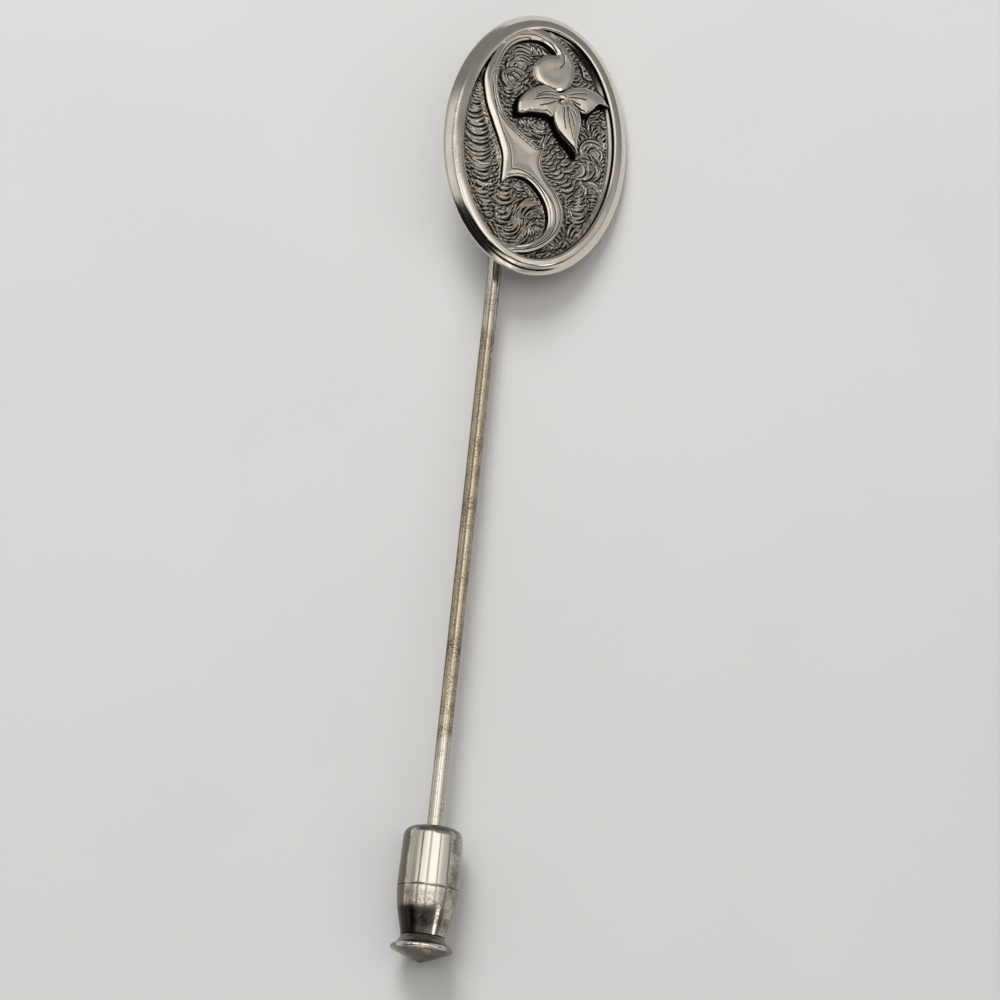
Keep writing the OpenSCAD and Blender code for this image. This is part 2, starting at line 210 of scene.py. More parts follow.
def makeSky(s):
    # Brightness by direction: the panes up to a soft far edge, the wall beyond it, the dark screen and
    # then each bright patch. The panes' ramp reads the angle as a share of a whole turn
    world = bpy.data.worlds.new("studioSky")
    bpy.context.scene.world = world
    world.use_nodes = True
    board = Board(world.node_tree)
    direction = board.make("TexCoord", out="Generated")
    parts = board.make("SeparateXYZ", {}, {"Vector": direction}).socket.node
    x, y, z = (Wire(board, parts.outputs[axis]) for axis in "XYZ")
    angle = x.joined("ARCTAN2", x, z) * (0.5 / np.pi) + 0.5
    stops = [(at / 360 + 0.5, (bright / s["brightest"],) * 3) for at, bright in s["panes"]]
    light = board.make("ValToRGB", {"stops": stops}, {"Fac": angle}) * s["brightest"]
    edge = s["farEdge"] + s["farEdgeLeft"] * board.between(x, *s["leftWide"], 1.0, 0.0)
    far = board.between(y - edge, *s["softEdge"])
    light = light * (1 - far) + s["wall"] * far
    screen = board.between(y, *s["screenTop"], 1.0, 0.0)
    screen = screen * board.between(y - x * s["screenLean"], *s["screenFoot"])
    light = light * (1 - screen) + s["screenDark"] * screen
    for at, inner, outer, bright in s["patches"]:
        toward = np.array(at) / np.linalg.norm(at)
        near = board.make("VectorMath", {"operation": "DOT_PRODUCT"},
                          {0: direction, 1: tuple(toward)}, "Value")
        share = board.between(near, np.cos(np.radians(outer)), np.cos(np.radians(inner)))
        light = light * (1 - share) + bright * share
    green = light * (0.5 + s["warmth"] / 2)
    colour = board.make("CombineColor", {}, {0: light, 1: green, 2: light * s["warmth"]})
    background = board.make("Background", {}, {"Color": colour})
    board.make("OutputWorld", {}, {"Surface": background})


# Soft light from the upper left, aimed at the origin
window = dict(place=(-0.12, 0.31, 0.29), wide=0.2, power=1.12)


def makeLight(w):
    # It shines against its third axis, which points from the origin to the light
    lamp = bpy.data.objects.new("softWindow", bpy.data.lights.new("softWindow", "AREA"))
    lamp.data.size = w["wide"]
    lamp.data.energy = w["power"]
    lamp.visible_glossy = False
    back = np.array(w["place"]) / np.linalg.norm(w["place"])
    first = np.cross([0.0, 1.0, 0.0], back)
    first = first / np.linalg.norm(first)
    turned = Matrix(np.column_stack([first, np.cross(back, first), back]).tolist())
    lamp.matrix_world = Matrix.Translation(w["place"]) @ turned.to_4x4()
    bpy.context.scene.collection.objects.link(lamp)


makeSky(sky)
makeLight(window)
bpy.context.scene.view_settings.view_transform = "Standard"
print("light: sky and window")


# Floor: plain pale paper
floorLook = dict(wide=3.0, colour=(0.785, 0.781, 0.776), rough=0.75, cloudScale=35.0, clouds=(0.35, 0.7),
                 shade=0.97, shine=0.2, fibreScale=2600.0, bump=0.08, fibreHigh=0.0001)


def makeFloor(f):
    half = f["wide"] / 2
    mesh = bpy.data.meshes.new("paleFloor")
    corners = [(-half, -half, 0), (half, -half, 0), (half, half, 0), (-half, half, 0)]
    mesh.from_pydata(corners, [], [(0, 1, 2, 3)])
    floor = bpy.data.objects.new("paleFloor", mesh)
    bpy.context.scene.collection.objects.link(floor)
    material, board = newMaterial("palePaper")
    place = board.make("TexCoord", out="Object")
    cloudy = board.between(board.noise(place, f["cloudScale"], 3.0), *f["clouds"])
    fibre = board.noise(place, f["fibreScale"], 3.0)
    colour = board.blend(cloudy, f["colour"], tuple(f["shade"] * c for c in f["colour"]))
    bump = board.make("Bump", {}, {"Strength": f["bump"], "Distance": f["fibreHigh"], "Height": fibre})
    paper = board.make("BsdfPrincipled", {}, {"Base Color": colour, "Roughness": f["rough"],
                                              "Specular IOR Level": f["shine"], "Normal": bump})
    board.make("OutputMaterial", {}, {"Surface": paper})
    mesh.materials.append(material)


makeFloor(floorLook)
print("floor: made")


# Curves, distances and meshes
def curveAt(rows, places, corners=()):
    # Smooth curve through the rows of a table: at place i + t it runs between rows i and i + 1 with the
    # slope of their neighbours, and a row named in corners keeps a sharp corner
    rows = np.asarray(rows, float)
    last = len(rows) - 1
    i = np.clip(np.floor(places).astype(int), 0, last - 1)
    t = (places - i)[:, None]
    isCorner = np.zeros(len(rows), bool)
    isCorner[list(corners)] = True
    before = np.where(isCorner[i], i, np.maximum(i - 1, 0))
    after = np.where(isCorner[i + 1], i + 1, np.minimum(i + 2, last))
    a, b, c, d = rows[before], rows[i], rows[i + 1], rows[after]
    return 0.5 * (2 * b + (c - a) * t + (2 * a - 5 * b + 4 * c - d) * t**2 + (3 * b - a - 3 * c + d) * t**3)


def curveThrough(rows, steps=6, corners=()):
    # The same curve with a number of steps between rows
    return curveAt(rows, np.linspace(0, len(rows) - 1, (len(rows) - 1) * steps + 1), corners)


def distanceTo(points, path):
    # Distance from each point to a line of segments: the least of its distances to the segments
    best = np.full(len(points), 1e9)
    for start, end in zip(path[:-1], path[1:]):
        way = end - start
        share = np.clip(((points - start) @ way) / max(way @ way, 1e-12), 0, 1)
        best = np.minimum(best, np.hypot(*(points - start - share[:, None] * way).T))
    return best


def smooth(value, low, high):
    # Smooth step from 0 at low to 1 at high
    t = np.clip((value - low) / (high - low), 0, 1)
    return t * t * (3 - 2 * t)


def fall(value, low, high):
    # Smooth step from 1 at low to 0 at high
    return 1 - smooth(value, low, high)


def ripple(points, scale, seed):
    # Soft unevenness between -1 and 1: the mean of five sine waves in scattered directions
    total = np.zeros(len(points))
    for k in range(5):
        angle = seed + 2.4 * k
        wave = scale * (1 + 0.37 * k)
        total += np.sin(wave * (points[:, 0] * np.cos(angle) + points[:, 1] * np.sin(angle)) + seed * 7 + k)
    return total / 5


def gridFaces(rows, columns, closeRows=False, closeColumns=False):
    # Four-cornered faces of a grid of points kept row by row; it may close on itself either way
    i = np.arange(rows if closeRows else rows - 1)[:, None]
    j = np.arange(columns if closeColumns else columns - 1)[None, :]
    a = i * columns + j
    b = ((i + 1) % rows) * columns + j
    c = ((i + 1) % rows) * columns + (j + 1) % columns
    d = i * columns + (j + 1) % columns
    return np.stack([a, b, c, d], -1).reshape(-1, 4)


def ringFaces(rows, n, turned=False):
    # Faces that join rings of n points in order, with a cap at each end, all turned over if asked
    first = np.arange(n)[None]
    sets = [gridFaces(rows, n, closeColumns=True), first, first[:, ::-1] + (rows - 1) * n]
    return [faces[:, ::-1] for faces in sets] if turned else sets


def skirted(top, n, drop, foot):
    # Points with two more rings under the last one: its lip, and its foot at the given height
    lip = top[-n:] - [0, 0, drop]
    return np.concatenate([top, lip, lip * [1, 1, 0] + [0, 0, foot]])


def makePiece(name, points, faceSets, body, material, layers, replaced=None, sharp=None):
    # A mesh from points in millimetres on the pin and sets of faces, each set with one number of corners
    corners = np.concatenate([f.ravel() for f in faceSets]).astype(np.int32)
    counts = np.concatenate([np.full(len(f), f.shape[1]) for f in faceSets])
    mesh = bpy.data.meshes.new(name)
    mesh.vertices.add(len(points))
    mesh.vertices.foreach_set("co", laid(points).astype(np.float32).ravel())
    mesh.loops.add(len(corners))
    mesh.loops.foreach_set("vertex_index", corners)
    mesh.polygons.add(len(counts))
    mesh.polygons.foreach_set("loop_start", (np.cumsum(counts) - counts).astype(np.int32))
    mesh.update(calc_edges=True)
    mesh.validate()
    for layer, values in layers.items():
        values = np.asarray(values, np.float32)
        flat = values.ndim == 1
        attribute = mesh.attributes.new(layer, "FLOAT" if flat else "FLOAT_VECTOR", "POINT")
        attribute.data.foreach_set("value" if flat else "vector", values.ravel())
    mesh.shade_smooth()
    if sharp:
        mesh.set_sharp_from_angle(angle=np.radians(sharp))
    mesh.materials.append(material)
    piece = bpy.data.objects.new(name, mesh)
    bpy.context.scene.collection.objects.link(piece)
    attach(piece, body)
    if replaced:
        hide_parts(replaced)
    print("piece:", name, int((counts - 2).sum()), "triangles")


# Finishes
silverLook = dict(clean=(0.82, 0.775, 0.69), oxideAndShadeColour=(0.016, 0.014, 0.012), shaded=0.84,
                  darkening=(0.3, 0.75), stainBite=0.35, patchBite=0.25, patchScale=900.0, stainScale=6500.0,
                  scratched=0.6, scratches=(0.42, 0.7), scratchShare=0.35, across=13.0, squeeze=0.05,
                  satin=0.34, polished=0.12, dull=0.55, grainScale=14000.0, grainRough=0.08, bump=0.16)


def agedSilver(s):
    # Satin silver, darkened by oxide and by painted shade where its darkness layer says, and brighter where
    # the polish layer says. Fine scratches run along the track layer: its first number is millimetres across
    # them, its second along them
    material, board = newMaterial("agedSilver")
    place = board.make("TexCoord", out="Object")
    polish = board.layer("polish")
    patches = board.noise(place, s["patchScale"], 4.0)
    stain = board.noise(place, s["stainScale"], 4.0)
    grain = board.noise(place, s["grainScale"], 3.0)
    scratches = board.drawn(board.layer("track", "Vector"), s["across"], s["squeeze"])
    bites = [(stain, s["stainBite"]), (patches, s["patchBite"])]
    dark = board.ragged(board.layer("recess"), bites, s["darkening"])
    tone = board.blend(patches, s["clean"], tuple(s["shaded"] * c for c in s["clean"]))
    fine = board.between(scratches, *s["scratches"]) * s["scratchShare"]
    tone = board.blend(fine, tone, tuple(s["scratched"] * c for c in s["clean"]))
    colour = board.blend(dark, tone, s["oxideAndShadeColour"])
    rough = s["satin"] + (grain - 0.5) * s["grainRough"] - polish * (s["satin"] - s["polished"])
    rough = rough * (1 - dark) + s["dull"] * dark
    board.metal(colour, rough, s["bump"], grain * 0.3 + scratches * 0.7)
    return material


wireLook = dict(silver=(0.78, 0.74, 0.65), brass=(0.62, 0.525, 0.38), stain=(0.09, 0.07, 0.045),
                brown=(0.1, 1.0), spots=(0.62, 0.84), spotShare=0.35, brownSpots=0.45,
                sides=(0.25, 0.95), sideShare=0.6, brownSides=0.3, score=(0.2, 0.8), scoreShare=0.85,
                rough=0.08, fineRough=0.08, brownRough=0.04, blotScale=700.0, fineScale=9000.0,
                lineScale=5000.0, squeeze=0.025, bump=0.15)


def tarnishedWire(w):
    # Nickel silver with brown tarnish where the zone layer says, darker along its sides where the side
    # layer says, and with one dark line along its top where the score layer says
    material, board = newMaterial("tarnishedWire")
    place = board.make("TexCoord", out="Object")
    blots = board.noise(place, w["blotScale"], 5.0)
    fine = board.noise(place, w["fineScale"], 3.0)
    lines = board.drawn(place, w["lineScale"], w["squeeze"])
    brown = board.ragged(board.layer("zone"), [(blots, 1.1), (lines, 0.6)], w["brown"])
    colour = board.blend(brown, w["silver"], w["brass"])
    spots = board.between(fine * 0.7 + blots * 0.4 + lines * 0.2, *w["spots"])
    colour = board.blend(spots * (w["spotShare"] + w["brownSpots"] * brown), colour, w["stain"])
    sides = board.ragged(board.layer("side"), [(fine, 0.9), (blots, 0.6)], w["sides"])
    colour = board.blend(sides * (w["sideShare"] + w["brownSides"] * brown), colour, w["stain"])
    line = board.ragged(board.layer("score"), [(fine, 0.7)], w["score"])
    colour = board.blend(line * w["scoreShare"], colour, w["stain"])
    rough = w["rough"] + (fine - 0.5) * w["fineRough"] + brown * w["brownRough"]
    board.metal(colour, rough, w["bump"], fine * 0.5 + lines * 0.5)
    return material


clutchLook = dict(plating=(0.78, 0.74, 0.65), streak=(0.42, 0.38, 0.31), blotch=(0.17, 0.15, 0.12),
                  black=(0.035, 0.03, 0.026), streaks=(0.5, 0.68), streakShare=0.6, dulling=(0.58, 0.96),
                  wearAndHighlightShare=0.55, reflectionDarkening=(0.2, 0.8), rough=0.1, fineRough=0.06, dullRough=0.16,
                  blotScale=900.0, fineScale=7000.0, lineScale=1800.0, squeeze=1 / 30, bump=0.12)


def platedClutch(c):
    # Warm nickel plating with lines along it and small dull blotches, more of them where it is worn and
    # fewer along a painted highlight on the knob's rim, and black where a painted dark reflection lies on
    # the barrel and the knob's cone
    material, board = newMaterial("platedClutch")
    place = board.make("TexCoord", out="Object")
    blots = board.noise(place, c["blotScale"], 5.0)
    fine = board.noise(place, c["fineScale"], 3.0)
    lines = board.drawn(place, c["lineScale"], c["squeeze"])
    dull = board.between(blots * 0.6 + fine * 0.4 + board.layer("wear") * c["wearAndHighlightShare"], *c["dulling"])
    streaks = board.between(lines, *c["streaks"]) * c["streakShare"]
    colour = board.blend(streaks, c["plating"], c["streak"])
    colour = board.blend(dull, colour, c["blotch"])
    soot = board.ragged(board.layer("soot"), [(blots, 0.5)], c["reflectionDarkening"])
    colour = board.blend(soot, colour, c["black"])
    rough = c["rough"] + (fine - 0.5) * c["fineRough"] + dull * c["dullRough"]
    board.metal(colour, rough, c["bump"], fine * 0.5 + lines * 0.5)
    return material


silver = agedSilver(silverLook)
wire = tarnishedWire(wireLook)
plating = platedClutch(clutchLook)
print("finishes: silver, wire and plating")


# Scroll: its two edges as tables on the head's face, x to the right and y towards the top, from the arm
# by the round end, round the head and down to the foot
scrollSizes = dict(top=1.17, foot=0.38, draft=0.07, lip=0.03, bevelWide=0.36, bevelDrop=0.08,
                   bevelCurve=1.6, hollow=0.04, hollowWide=1.0, lineWide=0.05, lineDeep=0.06, armRow=3,
                   stations=740, across=76, crowded=0.55, mergeAbove=(4.6, 5.8), mergeLeft=(0.2, 1.0),
                   mergeLight=0.75, polished=(0.3, 0.45))
outerEdge = [(1.9, 4.9), (2, 5.4), (1.9, 6.1), (1.5, 6.9), (0.9, 7.5), (0.3, 7.85), (-0.25, 8.1),
             (-0.95, 8.25), (-1.8, 8.2), (-2.6, 7.75), (-3.1, 7.2), (-3.42, 6.6), (-3.8, 5.6),
             (-4.2, 4.5), (-4.3, 3.5), (-3.95, 2), (-3.35, 0.7), (-2.75, -0.6), (-2.4, -1.7),
             (-2.35, -3.4), (-1.9, -2.95), (-1.2, -2.7), (-0.4, -2.85), (0.4, -3.5), (1, -4.45),
             (1.2, -5.5), (0.95, -6.35), (0.35, -7), (-0.6, -7.5), (-1.6, -7.6), (-2.4, -7.4),
             (-2.95, -7.1)]
innerEdge = [(0.7, 6.4), (0.45, 6.85), (-0.1, 7.2), (-0.8, 7.35), (-1.6, 7.2), (-2.35, 6.8),
             (-2.95, 6.1), (-3.3, 5.1), (-3.4, 4.1), (-3.35, 3.2), (-3.1, 2.4), (-2.75, 1.65),
             (-2.15, 1), (-1.4, 0.5), (-0.6, 0.05), (0.1, -0.2), (0.45, 0.8), (0.35, -0.5),
             (0.25, -1.2), (0.4, -1.8), (0.85, -2.5), (1.45, -3.1), (1.9, -3.75), (2.2, -4.5),
             (2.15, -5.4), (1.8, -6.3), (1.1, -7.15), (0.2, -7.75), (-0.9, -8.1), (-1.8, -8.2),
             (-2.9, -7.7)]
outerCorner, innerCorner = 19, 16
# Which row of the inner edge lies across from a row of the outer edge. Columns: outer row, inner row
facing = [(0, 0), (2, 0.3), (3, 0.6), (4, 1), (5, 2), (6, 2.6), (7, 3), (8, 3.8), (9, 4.6), (10, 5.2),
          (11, 5.7), (12, 6.6), (13, 7.7), (14, 8.7), (15, 10.4), (16, 11.7), (17, 12.3), (18, 12.6),
          (19, 13), (20, 13.5), (21, 14.2), (22, 15.6), (22.2, 16), (22.6, 17.4), (23, 19.5), (24, 22),
          (25, 24), (26, 25.2), (27, 26.3), (28, 27.6), (29, 28.7), (30, 29.5), (31, 30)]
# Where each edge shows and has a bevel: elsewhere it runs under the rim. Columns: first and last row
outerShown = [(0, 7.3), (11.2, 29.8)]
innerShown = [(0.6, 28.2)]
# Fine lines that follow an edge. Columns: edge, first and last row, distance in, strength
edgeLines = [("inner", 4, 15, 0.17, 0.85), ("inner", 8, 14.5, 0.36, 0.8), ("inner", 17, 28, 0.19, 1.0),
             ("outer", 20, 29, 0.15, 0.6)]
# Incised lines: down the ribbon, round its head, and the slit beside the round end's arm
lowerLine = [(-3.76, 3.61), (-3.37, 1.95), (-2.67, 0.24), (-2.0, -0.94), (-1.79, -2.29), (-1.19, -2.25),
             (-0.38, -2.48), (0.48, -3.13), (1.37, -4.06), (1.69, -5.07), (1.45, -6.21), (0.74, -7.03),
             (-0.35, -7.79)]
upperLine = [(-2.15, 7.42), (-1.37, 7.63), (-0.57, 7.58), (0.12, 7.29), (0.57, 6.81)]
slitLine = [(0.47, 7.3), (0.76, 7.08), (0.98, 6.81), (1.13, 6.45), (1.12, 6.1), (0.89, 5.72)]
# Round end and the arm's first part, from the notch round the left and the foot to the arm's outer edge
voluteEdge = [(0.58, 6.62), (0.11, 6.45), (-0.39, 6.2), (-0.75, 5.75), (-0.88, 5.24), (-0.77, 4.75),
              (-0.42, 4.35), (0.1, 4.1), (0.7, 4.05), (1.25, 4.2), (1.7, 4.6), (1.93, 5.2), (1.97, 5.85),
              (1.83, 6.4), (1.5, 6.9)]

outerFine = curveThrough(outerEdge, 8, [outerCorner])
innerFine = curveThrough(innerEdge, 8, [innerCorner])
scrollLoop = np.concatenate([outerFine, innerFine[::-1]])
incised = [curveThrough(lowerLine, 6, [4]), curveThrough(upperLine), curveThrough(slitLine)]


def edgePart(edge, first, last):
    # A stretch of one of the scroll's edges, as a fine line
    rows, corner = (outerEdge, outerCorner) if edge == "outer" else (innerEdge, innerCorner)
    return curveAt(rows, np.linspace(first, last, int((last - first) * 8) + 2), [corner])


def scrollTop(points, borders, bevelWide):
    # Height over the back, share of a groove and distance in from the borders. Height = top - bevel that
    # falls to the borders - shallow hollow - V grooves
    s = scrollSizes
    inward = np.min([distanceTo(points, e) for e in borders], axis=0)
    line = np.min([distanceTo(points, e) for e in incised], axis=0)
    groove = np.clip(1 - line / s["lineWide"], 0, 1)
    for edge, first, last, inset, strength in edgeLines:
        away = np.abs(distanceTo(points, edgePart(edge, first, last)) - inset)
        groove = np.maximum(groove, strength * np.clip(1 - away / s["lineWide"], 0, 1))
    bevel = np.clip(1 - inward / bevelWide, 0, 1) ** s["bevelCurve"] * s["bevelDrop"]
    hollow = s["hollow"] * smooth(inward, s["bevelWide"], s["hollowWide"])
    return s["top"] - bevel - hollow - s["lineDeep"] * groove, groove, inward


voluteSizes = dict(at=(0.5, 5.25), middle=(0.65, 5.45), radius=1.3, dome=0.07, bevelWide=0.3, foot=0.4,
                   tarnish=0.28, polished=(0.15, 0.3))
ribbonBorders = [edgePart("outer", *rows) for rows in outerShown]
ribbonBorders += [edgePart("inner", *rows) for rows in innerShown]
volutePath = curveThrough(voluteEdge, 12)


def scrollStations(s):
    # Points of the outer edge, the points of the inner edge across from them, and the ribbon's length. They
    # are evenly spaced by the mean run of both edges, and one pair lies at each sharp corner
    fine = np.linspace(s["armRow"], len(outerEdge) - 1, 4000)
    facingRows = np.array(facing, float)
    partner = np.interp(fine, facingRows[:, 0], facingRows[:, 1])
    outer = curveAt(outerEdge, fine, [outerCorner])
    inner = curveAt(innerEdge, partner, [innerCorner])
    run = np.hypot(*np.diff(outer, axis=0).T) + np.hypot(*np.diff(inner, axis=0).T)
    run = np.concatenate([[0], np.cumsum(run + 1e-6)])
    cornerRows = [outerCorner, np.interp(innerCorner, facingRows[:, 1], facingRows[:, 0])]
    stations = np.interp(np.linspace(0, run[-1], s["stations"]), run, fine)
    for row in cornerRows:
        stations[np.argmin(np.abs(stations - row))] = row
    outer = curveAt(outerEdge, stations, [outerCorner])
    inner = curveAt(innerEdge, np.interp(stations, facingRows[:, 0], facingRows[:, 1]), [innerCorner])
    return outer, inner, run[-1] / 2


def makeScroll(s):
    # A ribbon between the two edges: point = outer edge + share across times (inner edge - outer edge),
    # with the shares crowded towards both edges. Its walls fall with a little draft, the outer one less
    # dark where it merges into the rim, and its ends and underside are closed
    outer, inner, length = scrollStations(s)
    u = np.linspace(0, 1, s["across"])
    share = u + s["crowded"] * (0.5 - 0.5 * np.cos(np.pi * u) - u)
    flat = outer[:, None] + share[None, :, None] * (inner - outer)[:, None]
    rows, columns = flat.shape[:2]
    height, groove, inward = scrollTop(flat.reshape(-1, 2), ribbonBorders, s["bevelWide"])
    top = np.concatenate([flat, height.reshape(rows, columns, 1)], 2)
    fromOuter = share[None, :] * np.hypot(*(inner - outer).T)[:, None]
    along = np.broadcast_to(np.linspace(0, length, rows)[:, None], (rows, columns))
    apart = (inner - outer) / np.maximum(np.hypot(*(inner - outer).T), 1e-6)[:, None]
    outerFoot = np.concatenate([outer - s["draft"] * apart, np.full((rows, 1), s["foot"])], 1)
    innerFoot = np.concatenate([inner + s["draft"] * apart, np.full((rows, 1), s["foot"])], 1)
    outerLip = top[:, 0] - np.array([0, 0, s["lip"]])
    innerLip = top[:, -1] - np.array([0, 0, s["lip"]])
    points = np.stack([outerFoot, outerLip, *top.swapaxes(0, 1), innerLip, innerFoot], 1)
    wall = np.ones((rows, 2))
    merging = smooth(outer[:, 1], *s["mergeAbove"]) * fall(outer[:, 0], *s["mergeLeft"])
    outerWall = wall - s["mergeLight"] * merging[:, None]
    dark = np.concatenate([outerWall, groove.reshape(rows, columns), wall], 1)
    bright = fall(inward, *s["polished"]).reshape(rows, columns)
    bright = np.concatenate([wall * 0, bright, wall * 0], 1)
    track = np.pad(np.stack([fromOuter, along, 0 * along], -1), ((0, 0), (2, 2), (0, 0)), mode="edge")
    makePiece("headScroll", onHead(points.reshape(-1, 3)), ringFaces(rows, columns + 4), "pin",
              silver,
              {"recess": dark.ravel(), "polish": bright.ravel(), "track": track.reshape(-1, 3)}, sharp=50)


makeScroll(scrollSizes)


# Plaque: wall, rim, edge and flat back, and the sunk ground with its leaf cuts
plaqueSizes = dict(long=19.0, wide=lying["headWide"], around=720, still=1.2, inBelow=0.26, inRight=0.12,
                   filletAt=15, uneven=0.012, lineAt=-106, lineInset=0.32, lineWide=0.08, lineAbove=0.7,
                   grey=0.4, greyAbove=0.95, greyInset=1.2)
# Section through the rim from under the ground out and down to the back. Columns: inset, height,
# darkness (oxide, and painted shade on the underside), polish, and how far the row moves in and up on the
# side where a fillet fills the corner
rimSection = [(1.70, 0.36, 1, 0, 0, 0), (1.50, 0.40, 0.6, 0.3, 0.1, 0.12),
              (1.46, 0.56, 0.3, 0.5, 0.1, 0.08), (1.40, 0.72, 0.1, 0.8, 0.06, 0.05),
              (1.345, 0.90, 0, 1, 0, -0.03), (1.31, 0.92, 0.9, 0, 0, -0.01), (1.27, 1.02, 1, 0, 0, 0),
              (1.235, 1.12, 0.9, 0, 0, 0), (1.225, 1.14, 0.1, 1, 0, 0), (1.19, 1.165, 0, 1, 0, 0),
              (1.14, 1.19, 0, 1, 0, 0), (1.06, 1.197, 0, 0.9, 0, 0), (0.94, 1.192, 0, 0.8, 0, 0),
              (0.80, 1.180, 0, 0.8, 0, 0), (0.70, 1.166, 0, 0.9, 0, 0), (0.64, 1.150, 0, 1, 0, 0),
              (0.59, 1.127, 0, 1, 0, 0), (0.54, 1.096, 0, 1, 0, 0), (0.49, 1.058, 0, 1, 0, 0),
              (0.44, 1.016, 0, 1, 0, 0), (0.32, 0.905, 0, 1, 0, 0), (0.18, 0.78, 0, 1, 0, 0),
              (0.08, 0.685, 0, 1, 0, 0), (0.02, 0.615, 0, 1, 0, 0), (0, 0.57, 0, 0.9, 0, 0),
              # Under the widest edge the rows darken the further down towards the back they go: painted
              # shade on the underside
              (0.02, 0.50, 0.1, 0.7, 0, 0), (0.08, 0.36, 0.3, 0.5, 0, 0), (0.15, 0.20, 0.45, 0.3, 0, 0),
              (0.22, 0.07, 0.5, 0.2, 0, 0), (0.30, 0, 0.5, 0.2, 0, 0)]
groundSizes = dict(inset=1.45, height=0.5, under=0.38, acrossCells=255, alongCells=370, ledgeWide=0.16,
                   ledgeHigh=0.12, filletWide=0.2, filletHigh=0.1, ridgeHigh=0.17, cutDeep=0.13,
                   cutWide=0.06, thinnest=0.10, thickest=0.28, single=0.24, faintest=0.85,
                   plainBeside=(0.03, 0.12), footBold=0.6, boldBelow=(-4.5, -2.0), headFaint=0.3,
                   faintAbove=(2.0, 6.0), fillAcross=0.36, fillAlong=0.28, fillRadius=0.33, fillHalf=48,
                   fillThick=0.13, leftFootEdge=-2.2, leftFootFrom=(-2.2, -1.4), leftFootTo=(3.0, 3.6),
                   footLedge=0.14, footLedgeWide=0.3, footLit=(0.2, 0.27), roundLedge=0.38,
                   roundLedgeWide=0.5, roundLedgeLeft=(-0.6, 0.3), endsHigh=0.58, waves=0.015,
                   roughHigh=0.05, tarnish=0.54, cutDark=0.9, ridgeClean=0.9, roughDark=0.3,
                   bladeShine=0.9, petalShade=0.95, petalShaded=(0.12, 0.24), seed=8,
                   # How uneven the charted cuts are, in the order of their columns: in shares of a value,
                   # then in the value's own unit
                   swayShare=(0, 0, 0.12, 0, 0.18, 0.35, 0), swayAdded=(0.05, 0.05, 0, 7, 0, 0, 0.3))
